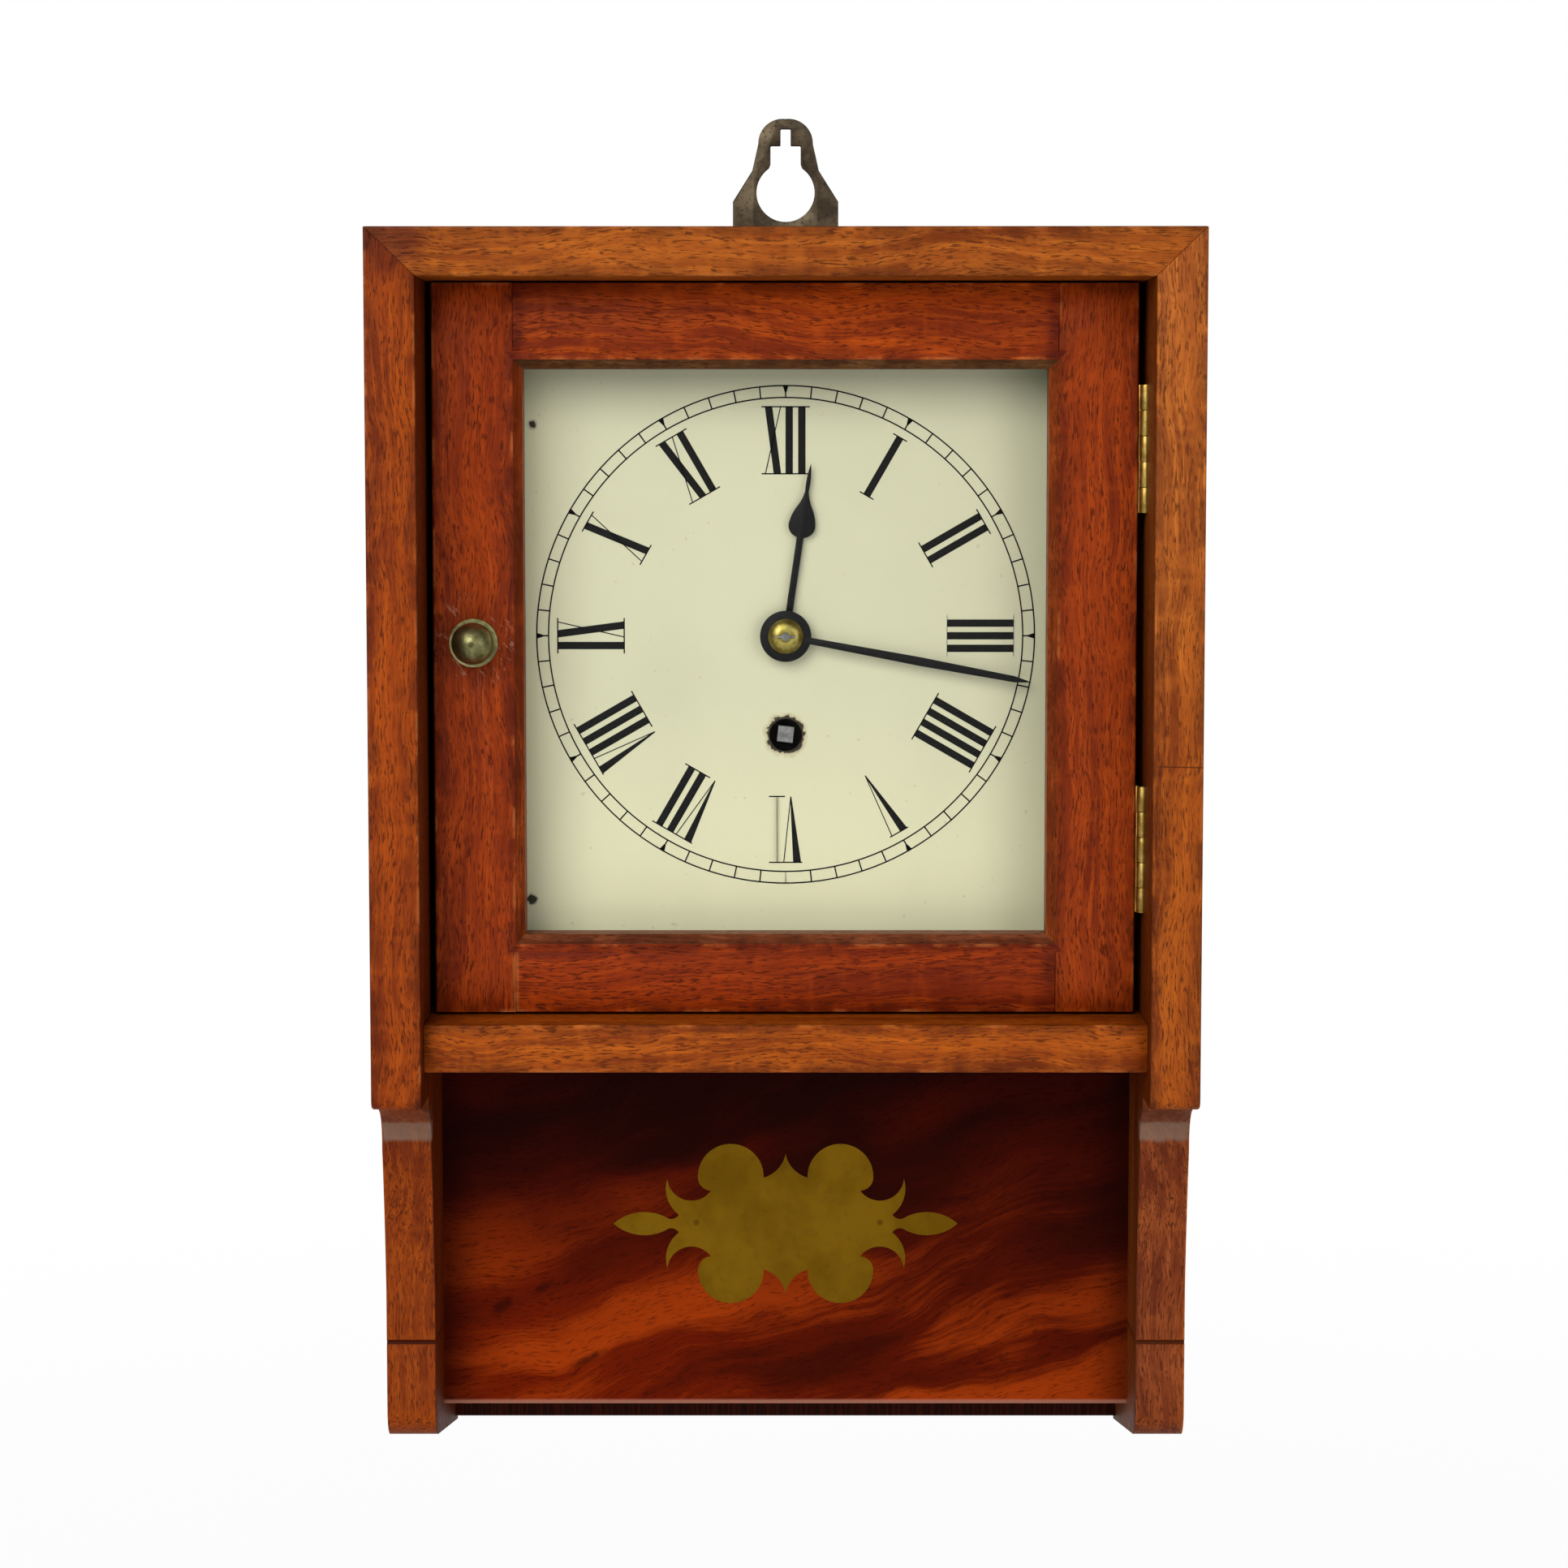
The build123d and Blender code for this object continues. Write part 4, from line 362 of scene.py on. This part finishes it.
def figuredPanel():
    def finish(wire, shader):
        place = millimetres(wire)
        x, y, z = axes(place)
        swell = (noise(wire, place, 0.010, 3.0) - 0.5) * 44.0
        across = z * 0.94 - x * 0.34 + swell
        along = x * 0.94 + z * 0.34
        # painted light: the panel is lighter low down and to the left; its flame figure shows only in that
        # painted light, so it is partly the wood's figure and partly painted light
        lift = smooth(z + (noise(wire, place, 0.022, 3.0) - 0.5) * 60.0, *panelLook["liftFrom"])
        side = smooth(x, *panelLook["lightSide"])
        stripe = noise(wire, joined(along * 0.22, y, across), 0.045, 3.0, 0.5)
        fine = noise(wire, joined(along * 0.05, y, across + 40.0), 0.75, 4.0, 0.6)
        pore = noise(wire, joined(along * 0.15, y, across), 2.2, 2.0)
        colour = blend(smooth(stripe, 0.30, 0.70), panelLook["dark"], panelLook["middle"])
        colour = blend(lift * (0.35 + side * 0.45), colour, panelLook["warm"])
        litFlame = smooth(stripe * 0.8 + fine * 0.2, 0.47, 0.62) * lift
        colour = blend(litFlame * 0.7, colour, panelLook["flame"])
        colour = blend(smooth(stripe, 0.46, 0.34) * lift * 0.5, colour, panelLook["dark"])
        colour = blend(smooth(fine, 0.52, 0.74) * (0.06 + lift * 0.18), colour, panelLook["warm"])
        for left, height, radius, slant in panelLook["knots"]:
            leaning = (z - height) - (x - left) * 0.5
            away = ((x - left) ** 2.0 * (1.0 / (1.0 + slant * 2.0)) + leaning ** 2.0 * (1.3 + slant)) ** 0.5
            away = away + (noise(wire, place, 0.42, 3.0) - 0.5) * 3.4
            colour = blend(smooth(away, radius + 2.6, radius - 0.6) * 0.62, colour, panelLook["dark"])
        flecks = smooth(pore, 0.56, 0.66)
        colour = blend(flecks * 0.45, colour, panelLook["dark"])
        edge = upper(smooth(z, *panelLook["topShade"]), smooth(abs(x), *panelLook["endShade"]))
        colour = blend(edge * 0.6, colour, panelLook["dark"])
        colour = blend(smooth(z, *panelLook["arrisFrom"]) * 0.85, colour, panelLook["litArris"])
        plug(shader, "Base Color", colour)
        plug(shader, "Roughness", 0.30 + flecks * 0.2 + fine * 0.1)
        shader.inputs["Specular IOR Level"].default_value = 0.02
        plug(shader, "Normal", bumpOf(wire, fine * 0.4 - flecks * 0.6, 0.00007, 0.7))
    return newMaterial("figured_panel", finish)


def plainDeal():
    def finish(wire, shader):
        place = millimetres(wire)
        x, y, z = axes(place)
        rings = noise(wire, joined(x, y, z * 0.02), 0.10, 5.0, 0.6)
        fibre = noise(wire, joined(x, y, z * 0.05), 1.1, 3.0, 0.5)
        stain = noise(wire, place, 0.02, 4.0)
        colour = blend(smooth(rings, 0.38, 0.62), srgb(122, 84, 48), srgb(168, 126, 80))
        colour = blend(smooth(fibre, 0.55, 0.75) * 0.5, colour, srgb(92, 58, 30))
        colour = blend(smooth(stain, 0.5, 0.7) * 0.5, colour, srgb(104, 70, 40))
        # darker on its faces in front of y = -1 mm
        darkFront = blend(smooth(fibre, 0.40, 0.65), srgb(34, 7, 1), srgb(62, 17, 4))
        shader.inputs["Specular IOR Level"].default_value = 0.08
        colour = blend(smooth(y, -0.6, -1.0), colour, darkFront)
        plug(shader, "Base Color", colour)
        plug(shader, "Roughness", 0.62 + fibre * 0.25)
        plug(shader, "Normal", bumpOf(wire, fibre + rings * 0.5, 0.0002, 0.8))
    return newMaterial("plain_deal", finish)


# metals, paint and glass
def metal(name, bright, dull, tarnish, rough, mottle, grainWay, worn, dots=()):
    # bright metal with duller clouds, fine scratches and spots of tarnish
    def finish(wire, shader):
        place = millimetres(wire)
        x, y, z = axes(place)
        clouds = noise(wire, place, mottle, 4.0, 0.6)
        spots = noise(wire, place, mottle * 9, 3.0, 0.6)
        squeeze = 0.03 if grainWay == "z" else 1.0
        hair = noise(wire, joined(x, y, z * squeeze), 4.5, 2.0)
        colour = blend(smooth(clouds, 0.38, 0.62), bright, dull)
        colour = blend(smooth(spots, 0.56, 0.72) * worn, colour, tarnish)
        colour = blend(smooth(hair, 0.5, 0.8) * 0.22, colour, dull)
        for left, height, radius in dots:
            away = ((x - left) ** 2.0 + (z - height) ** 2.0) ** 0.5
            colour = blend(smooth(away, radius + 0.3, radius - 0.2) * 0.7, colour, tarnish)
        plug(shader, "Base Color", colour)
        plug(shader, "Roughness", rough + clouds * 0.14 + smooth(spots, 0.56, 0.72) * worn * 0.3)
        plug(shader, "Metallic", 1.0 - smooth(spots, 0.58, 0.74) * worn * 0.35)
        plug(shader, "Normal", bumpOf(wire, hair + spots * 0.6, 0.00004, 0.6))
    return newMaterial(name, finish)


dialLook = dict(
    cream=srgb(223, 224, 188),
    # kept is a paler cream, painted light; shade and corner are painted shade
    kept=srgb(246, 245, 200),
    shade=srgb(170, 176, 140),
    corner=srgb(140, 146, 106),
    rust=srgb(70, 48, 22),
    bare=srgb(52, 44, 30),
    chips=((-77.0, 64.3, 0.8), (-78.0, -81.0, 1.2), (-85.6, 30.0, 1.4)),  # x, z and radius, mm
    winding=(0.0, -30.4, 5.0),
    right=(56.0, 86.0),  # x or z over which each side of the dial takes its painted light and shade, mm
    left=(-60.0, -86.0),
    top=(62.0, 86.0),
    foot=(-10.0, -70.0),
)


def dialPaint():
    def finish(wire, shader):
        place = millimetres(wire)
        x, y, z = axes(place)
        clouds = noise(wire, place, 0.02, 4.0)
        grit = noise(wire, place, 1.3, 3.0)
        speck = noise(wire, place, 0.42, 2.0)
        right = smooth(x, *dialLook["right"])
        left = smooth(x, *dialLook["left"])
        top = smooth(z, *dialLook["top"])
        foot = smooth(z, *dialLook["foot"])
        # painted light: paler towards the left edge and low down; painted shade: greyer towards the right
        # and top edges and darker in the top corners
        edgeShade = 1.0 - (1.0 - right * 0.34) * (1.0 - top * 0.26)
        colour = blend(smooth(clouds, 0.35, 0.7) * 0.35, dialLook["cream"], srgb(214, 214, 178))
        colour = blend(upper(left, foot * 0.62), colour, dialLook["kept"])
        colour = blend(edgeShade, colour, dialLook["shade"])
        colour = blend(top * upper(left, right) * 0.6, colour, dialLook["corner"])
        colour = blend(smooth(speck, 0.70, 0.78) * 0.30, colour, srgb(170, 150, 100))
        wx, wz, wr = dialLook["winding"]
        rim = ((x - wx) ** 2.0 + (z - wz) ** 2.0) ** 0.5 + (noise(wire, place, 0.7, 3.0) - 0.5) * 3.0
        halo = smooth(rim, wr + 2.4, wr + 0.6)
        bareRim = smooth(rim, wr + 1.0, wr + 0.5)
        colour = blend(halo * 0.55, colour, srgb(176, 152, 96))
        colour = blend(bareRim, colour, dialLook["bare"])
        chipped = bareRim
        for cx, cz, radius in dialLook["chips"]:
            away = ((x - cx) ** 2.0 + (z - cz) ** 2.0) ** 0.5 + (noise(wire, place, 0.9, 3.0) - 0.5) * 1.4
            mark = smooth(away, radius + 0.4, radius)
            colour = blend(smooth(away, radius + 1.1, radius) * 0.6, colour, dialLook["rust"])
            colour = blend(mark, colour, dialLook["bare"])
            chipped = upper(chipped, mark)
        plug(shader, "Base Color", colour)
        plug(shader, "Roughness", 0.42 + grit * 0.10 + chipped * 0.3)
        height = grit * 0.12 + clouds * 0.4 - chipped * 2.0
        plug(shader, "Normal", bumpOf(wire, height, 0.00007, 0.7))
    return newMaterial("dial_paint", finish)


def lacquer(name, colour, worn, rough):
    def finish(wire, shader):
        place = millimetres(wire)
        rubbed = noise(wire, place, 0.6, 4.0)
        dust = noise(wire, place, 2.6, 2.0)
        shade = blend(smooth(rubbed, 0.58, 0.74) * 0.6, colour, worn)
        plug(shader, "Base Color", shade)
        plug(shader, "Roughness", rough + rubbed * 0.2 + dust * 0.08)
        shader.inputs["Specular IOR Level"].default_value = 0.22
        plug(shader, "Normal", bumpOf(wire, dust, 0.00003, 0.6))
    return newMaterial(name, finish)


glassLook = dict(middle=-4.25, side=(80.0, 86.0), end=(87.0, 92.0))  # where its dusty rim begins, mm


def windowGlass():
    def finish(wire, shader):
        place = millimetres(wire)
        x, y, z = axes(place)
        smear = noise(wire, joined(x, y, z * 0.4), 0.03, 4.0)
        shader.inputs["Base Color"].default_value = srgb(24, 28, 24)
        shader.inputs["IOR"].default_value = 1.45
        plug(shader, "Roughness", 0.02 + smooth(smear, 0.5, 0.8) * 0.05)
        ends = smooth(abs(z - glassLook["middle"]), *glassLook["end"])
        rim = upper(smooth(abs(x), *glassLook["side"]), ends)
        plug(shader, "Alpha", 0.035 + smooth(smear, 0.45, 0.75) * 0.012 + rim * 0.05)
        plug(shader, "Normal", bumpOf(wire, smear, 0.0003, 0.2))
    return newMaterial("window_glass", finish)


bright, dull = srgb(206, 178, 96), srgb(170, 138, 66)
finishes = {
    "back_wood": plainDeal(),
    "panel_wood": figuredPanel(),
    "inlay_brass": metal(
        "aged_inlay_brass", srgb(126, 94, 17), srgb(112, 81, 13), srgb(88, 60, 12), 0.50, 0.05, None, 0.2,
        dots=((-28.0, -184.9, 0.9), (29.6, -184.9, 0.9))),
    "hanger_steel": metal(
        "bronzed_hanger", srgb(98, 87, 69), srgb(70, 61, 49), srgb(40, 33, 26), 0.40, 0.12, None, 0.8),
    "dial_paint": dialPaint(),
    "knob_brass": metal(
        "aged_knob_brass", srgb(160, 156, 108), srgb(118, 116, 76), srgb(58, 52, 34), 0.34, 0.3, None, 0.7,
        dots=((-93.3, -1.0, 0.8),)),
    "hinge_brass": metal(
        "hinge_brass", srgb(186, 156, 84), srgb(146, 116, 52), srgb(72, 50, 20), 0.32, 0.3, "z", 0.6),
    "plate_brass": metal("plate_brass", bright, dull, srgb(120, 86, 38), 0.26, 0.04, "z", 0.4),
    "wheel_brass": metal("wheel_brass", srgb(212, 184, 104), dull, srgb(120, 86, 38), 0.24, 0.1, None, 0.3),
    "arbor_steel": metal(
        "arbor_steel", srgb(168, 168, 166), srgb(128, 128, 126), srgb(86, 70, 52), 0.24, 0.3, None, 0.35),
    "screw_steel": metal(
        "screw_steel", srgb(122, 124, 132), srgb(92, 94, 102), srgb(72, 56, 40), 0.28, 0.3, None, 0.4),
    "spring_steel": metal(
        "blued_spring_steel", srgb(86, 92, 112), srgb(66, 70, 86), srgb(60, 46, 40), 0.26, 0.2, None, 0.3),
    "hand_black": lacquer("black_hand_lacquer", srgb(8, 8, 8), srgb(30, 28, 26), 0.34),
    "collet_brass": metal(
        "collet_brass", srgb(186, 174, 96), srgb(150, 134, 62), srgb(88, 70, 30), 0.26, 0.4, None, 0.5),
    "window_glass": windowGlass(),
    "bob_brass": metal("bob_brass", srgb(210, 176, 90), dull, srgb(124, 90, 40), 0.20, 0.05, None, 0.3),
    "rod_steel": metal(
        "rod_steel", srgb(150, 150, 148), srgb(120, 120, 118), srgb(84, 70, 54), 0.28, 0.3, "z", 0.3),
}
# the ratchet wheel seen through the winding hole is coloured near black as painted shade
finishes["ratchet_wheel"] = metal(
    "ratchet_in_painted_shade", srgb(30, 27, 24), srgb(20, 18, 16), srgb(40, 28, 18), 0.55, 0.3, None, 0.5)
for node, look in boardLooks.items():
    finishes[node] = mahogany(node, look)
for node, thing in nodes.items():
    for slot in thing.material_slots:
        slot.material = finishes.get(node) or finishes[slotOf[node]]
print("clock: materials made,", len(finishes))


# modelling
def pick(*things):
    bpy.ops.object.select_all(action="DESELECT")
    for thing in things:
        thing.select_set(True)
    bpy.context.view_layer.objects.active = things[0]


def settle(piece, name, material, body):
    # place goes into the mesh, then the piece rides on its body
    pick(piece)
    bpy.ops.object.transform_apply(location=True, rotation=True, scale=True)
    piece.name = name
    piece.data.materials.clear()
    piece.data.materials.append(material)
    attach(piece, body)


def softened(node, width, segments=2, sharp=40):
    # a copy of a CAD node with its sharp edges rounded, which stands for the node
    source = nodes[node]
    piece = source.copy()
    piece.data = source.data.copy()
    bpy.context.scene.collection.objects.link(piece)
    piece.parent = None
    for key in list(piece.keys()):
        del piece[key]
    pick(piece)
    bpy.ops.object.mode_set(mode="EDIT")
    bpy.ops.mesh.select_all(action="SELECT")
    bpy.ops.mesh.remove_doubles(threshold=1e-6)
    bpy.ops.mesh.dissolve_limited(angle_limit=radians(0.4))
    bpy.ops.object.mode_set(mode="OBJECT")
    bevel = piece.modifiers.new("edges", "BEVEL")
    bevel.width = width * mm
    bevel.segments = segments
    bevel.limit_method = "ANGLE"
    bevel.angle_limit = radians(sharp)
    bpy.ops.object.modifier_apply(modifier="edges")
    bpy.ops.object.shade_smooth_by_angle(angle=radians(30))
    piece.name = node + "_eased"
    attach(piece, bodyOf[node])
    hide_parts(node)


def joinAll(things):
    pick(*things)
    bpy.ops.object.join()
    return bpy.context.object


edgeRounds = {
    "top_board": 0.5, "bottom_board": 0.5, "left_side_board": 0.5, "right_side_board": 0.5,
    "door_left_stile": 0.35, "door_right_stile": 0.35, "door_top_rail": 0.35, "door_bottom_rail": 0.35,
    "hour_hand": 0.16, "minute_hand": 0.16, "hanger_plate": 0.3,
    "hinge_case_leaves": 0.12, "hinge_door_leaves": 0.12,
}
for node, width in edgeRounds.items():
    softened(node, width)
print("clock: edges eased")


# bevelled sight edge that lines the door's opening, each side in its own board's wood, with each bevel in a
# colour that paints its light: painted shade on the top bevel and a painted greyish highlight on the bottom
# one
sightLook = dict(
    left=-83.9, right=83.9, bottom=-94.4, top=85.9, depth=27.0, reach=38.8, face=2.6, bevel=2.7, proud=0.02,
    litAndShadedTones={
        "door_left_stile": srgb(146, 60, 14),
        "door_right_stile": srgb(150, 66, 22),
        "door_top_rail": srgb(108, 68, 34),
        "door_bottom_rail": srgb(128, 66, 36),
    },
)


def sightEdge(look):
    width, height = look["right"] - look["left"], look["top"] - look["bottom"]
    middle = Vector((0, caseFront + look["depth"] - look["proud"], (look["top"] + look["bottom"]) / 2)) * mm
    bpy.ops.mesh.primitive_plane_add(size=mm, location=middle, rotation=(pi / 2, 0, 0))
    piece = bpy.context.object
    piece.scale = (width, height, 1)
    bpy.ops.object.transform_apply(location=True, rotation=True, scale=True)
    bpy.ops.object.mode_set(mode="EDIT")
    bpy.ops.mesh.select_all(action="SELECT")
    bpy.ops.mesh.inset(thickness=look["face"] * mm, depth=0)
    bpy.ops.mesh.inset(thickness=look["bevel"] * mm, depth=-look["bevel"] * mm)
    back = (look["reach"] - look["depth"] - look["bevel"]) * mm
    bpy.ops.mesh.extrude_region_move(TRANSFORM_OT_translate={"value": (0, back, 0)})
    bpy.ops.mesh.delete(type="FACE")
    bpy.ops.object.mode_set(mode="OBJECT")
    piece.data.materials.clear()
    # bevels take the painted light and shade colours; the flush face keeps its board's own finish
    for board, tone in look["litAndShadedTones"].items():
        grain = boardLooks[board]["grain"]
        shift = boardLooks[board]["shift"]
        wood = dict(label="lit_and_shaded_edge_of_" + board, colour=tone, grain=grain, shift=shift, lean=0.0, wear=0.0)
        piece.data.materials.append(mahogany(board, wood))
    for board in look["litAndShadedTones"]:
        piece.data.materials.append(finishes[board])
    for face in piece.data.polygons:
        out = (face.center.x, face.center.z - middle.z)
        slant = abs(out[0]) / (width / 2) - abs(out[1]) / (height / 2)
        side = (0 if out[0] < 0 else 1) if slant > 0 else (2 if out[1] > 0 else 3)
        flush = abs(face.center.y - middle.y) < 0.1 * mm
        face.material_index = side + 4 if flush else side
    piece.name = "door_sight_edge"
    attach(piece, "door")


sightEdge(sightLook)
print("clock: sight edge lined")


# printing on the dial
printing = dict(
    ringOuter=76.0, ringInner=72.4, line=0.44, thick=0.05,
    numeralInner=49.3, numeralOuter=69.6, serif=0.40, serifOver=0.5, stroke=2.25, hairline=0.32,
    widths={"I": 3.85, "V": 5.4, "X": 6.0},
    markInner=73.6, markFoot=0.25, markHead=1.8,  # wedge at every fifth minute
    pointAcross=0.35, thickAcross=1.6, thinAcross=2.5,  # where a V's strokes meet and end
    pointWidth=0.35, thickWidth=2.45, thinPoint=0.28, serifCut=0.6,
    thickLean=1.35, thinLean=2.3,  # how far an X's strokes lean
)
ink = lacquer("dial_ink", srgb(8, 8, 7), srgb(34, 33, 28), 0.5)


def bar(start, end, startWidth, endWidth):
    # painted stroke between two points on the dial, in mm; one that runs straight down ends up on edge
    (x1, z1), (x2, z2) = start, end
    middle = Vector(((x1 + x2) / 2, dialFace, (z1 + z2) / 2)) * mm
    span = Vector((x2 - x1, 0, z2 - z1))
    turn = Vector((0, 0, 1)).rotation_difference(span.normalized()).to_euler()
    bpy.ops.mesh.primitive_cube_add(size=mm, location=middle, rotation=turn)
    stroke = bpy.context.object
    stroke.scale = (1, printing["thick"] * 2, span.length)
    for vertex in stroke.data.vertices:
        vertex.co.x *= endWidth if vertex.co.z > 0 else startWidth
    bpy.ops.object.transform_apply(location=True, rotation=True, scale=True)
    return stroke


def flatRing(radius, width):
    bpy.ops.mesh.primitive_cylinder_add(
        vertices=180, radius=(radius + width / 2) * mm, depth=printing["thick"] * mm,
        end_fill_type="NOTHING", rotation=(pi / 2, 0, 0),
        location=(0, dialFace * mm - printing["thick"] * mm / 2, 0))
    ring = bpy.context.object
    bpy.ops.object.transform_apply(location=True, rotation=True, scale=True)
    solid = ring.modifiers.new("band", "SOLIDIFY")
    solid.thickness = width * mm
    bpy.ops.object.modifier_apply(modifier="band")
    return ring


def onDial(turn, across, out):
    # point in a numeral's own frame, its feet towards the middle
    angle = radians(turn)
    return (across * cos(angle) + out * sin(angle), out * cos(angle) - across * sin(angle))


def numeral(turn, text):
    strokes = []
    low, high = printing["numeralInner"], printing["numeralOuter"]
    wide = printing["widths"]
    total = sum(wide[letter] for letter in text)
    left = -total / 2
    first = left
    for letter in text:
        middle = left + wide[letter] / 2
        if letter == "I":
            marks = [(middle, middle, printing["stroke"], printing["stroke"])]
        elif letter == "V":
            apex = middle + printing["pointAcross"]
            thick, thin = middle - printing["thickAcross"], middle + printing["thinAcross"]
            marks = [
                (apex, thick, printing["pointWidth"], printing["thickWidth"]),
                (apex, thin, printing["thinPoint"], printing["hairline"]),
            ]
        else:
            stroke, hairline = printing["stroke"], printing["hairline"]
            thick, thin = printing["thickLean"], printing["thinLean"]
            marks = [
                (middle + thick, middle - thick, stroke, stroke),
                (middle - thin, middle + thin, hairline, hairline),
            ]
        for foot, head, footWidth, headWidth in marks:
            strokes.append(bar(onDial(turn, foot, low), onDial(turn, head, high), footWidth, headWidth))
        left += wide[letter]
    for height, level in ((low, "foot"), (high, "head")):
        start, end = first - printing["serifOver"], left + printing["serifOver"]
        if level == "foot" and text.startswith("V"):
            start = first + wide["V"] - printing["serifCut"]  # the point of a V has no serif
        if level == "foot" and text.endswith("V"):
            end = left - wide["V"] + printing["serifCut"]
        if end > start:
            line = printing["serif"]
            strokes.append(bar(onDial(turn, start, height), onDial(turn, end, height), line, line))
    return strokes


marks = []
for hour, text in enumerate(("XII", "I", "II", "III", "IIII", "V", "VI", "VII", "VIII", "IX", "X", "XI")):
    marks += numeral(30 * hour, text)
numerals = joinAll(marks)
settle(numerals, "dial_numerals", ink, "case")
marks = [flatRing(printing[ring], printing["line"]) for ring in ("ringOuter", "ringInner")]
for minute in range(60):
    ends = (onDial(6 * minute, 0, printing["ringInner"]), onDial(6 * minute, 0, printing["ringOuter"]))
    marks.append(bar(*ends, printing["line"], printing["line"]))
    if minute % 5 == 0:
        ends = (onDial(6 * minute, 0, printing["markInner"]), onDial(6 * minute, 0, printing["ringOuter"]))
        marks.append(bar(*ends, printing["markFoot"], printing["markHead"]))
track = joinAll(marks)
settle(track, "dial_minute_track", ink, "case")
print("clock: dial printed")


# floor, light and camera
stageLook = dict(floorHeight=-0.46, floorSize=8.0, fade=(0.3, 1.6))
bpy.ops.mesh.primitive_plane_add(size=stageLook["floorSize"], location=(0, 0, stageLook["floorHeight"]))
floor = bpy.context.object
floor.name = "floor"
material = bpy.data.materials.new("pale_floor")
material.use_nodes = True
tree = material.node_tree
tree.nodes.clear()
wire = Wire(tree)
rays = wire.make("ShaderNodeLightPath", {}, {}, 0)
floorX, floorY = axes(wire.make("ShaderNodeTexCoord", {}, {}, 3))[:2]
far = smooth((floorX ** 2.0 + floorY ** 2.0) ** 0.5, *stageLook["fade"])
plain = wire.make("ShaderNodeBsdfDiffuse", {}, {"Color": (0.86, 0.86, 0.86, 1.0)})
white = wire.make("ShaderNodeEmission", {}, {"Color": (1.0, 1.0, 1.0, 1.0), "Strength": 1.0})
mixed = wire.make("ShaderNodeMixShader", {}, {0: rays * (0.95 + far * 0.05), 1: plain, 2: white})
output = tree.nodes.new("ShaderNodeOutputMaterial")
tree.links.new(mixed.socket, output.inputs[0])
floor.data.materials.append(material)

world = bpy.data.worlds.new("studio")
bpy.context.scene.world = world
world.use_nodes = True
tree = world.node_tree
tree.nodes.clear()
wire = Wire(tree)
cameraRay = wire.make("ShaderNodeLightPath", {}, {}, 0)
way = wire.make("ShaderNodeTexCoord", {}, {}, 0)
behind = smooth(axes(way)[1], -0.1, 0.5)
room = blend(behind, (0.17, 0.17, 0.175, 1.0), (0.60, 0.60, 0.60, 1.0))
colour = blend(cameraRay, room, (1.0, 1.0, 1.0, 1.0))
sky = wire.make("ShaderNodeBackground", {}, {"Color": colour, "Strength": 1.0})
output = tree.nodes.new("ShaderNodeOutputWorld")
tree.links.new(sky.socket, output.inputs[0])

lampAim = Vector((0, -0.08, -0.05))
lamps = {
    "key": dict(place=(-0.85, -1.8, 1.0), size=1.6, power=34.5, colour=(1.0, 0.985, 0.96)),
    "fill": dict(place=(1.3, -1.6, 0.45), size=1.4, power=11.0, colour=(0.98, 0.99, 1.0)),
    "low": dict(place=(0.0, -1.2, -0.42), size=0.9, power=1.3, colour=(1.0, 1.0, 1.0)),
}
for name, look in lamps.items():
    lamp = bpy.data.lights.new(name, "AREA")
    lamp.size = look["size"]
    lamp.energy = look["power"]
    lamp.color = look["colour"]
    holder = bpy.data.objects.new(name, lamp)
    holder.location = look["place"]
    aim = lampAim - Vector(look["place"])
    holder.rotation_euler = aim.to_track_quat("-Z", "Y").to_euler()
    bpy.context.scene.collection.objects.link(holder)

cameraLook = dict(place=(-0.0005, -1.214, 0.0552), pitch=-5.0, focal=4643.0, frame=1932.0)
camera = bpy.data.cameras.new("camera")
camera.sensor_width = 36.0
camera.lens = 36.0 * cameraLook["focal"] / cameraLook["frame"]
holder = bpy.data.objects.new("camera", camera)
holder.location = cameraLook["place"]
holder.rotation_euler = (radians(90 + cameraLook["pitch"]), 0, 0)
bpy.context.scene.collection.objects.link(holder)
bpy.context.scene.camera = holder
bpy.context.scene.view_settings.view_transform = "Standard"
print("clock: stage set")
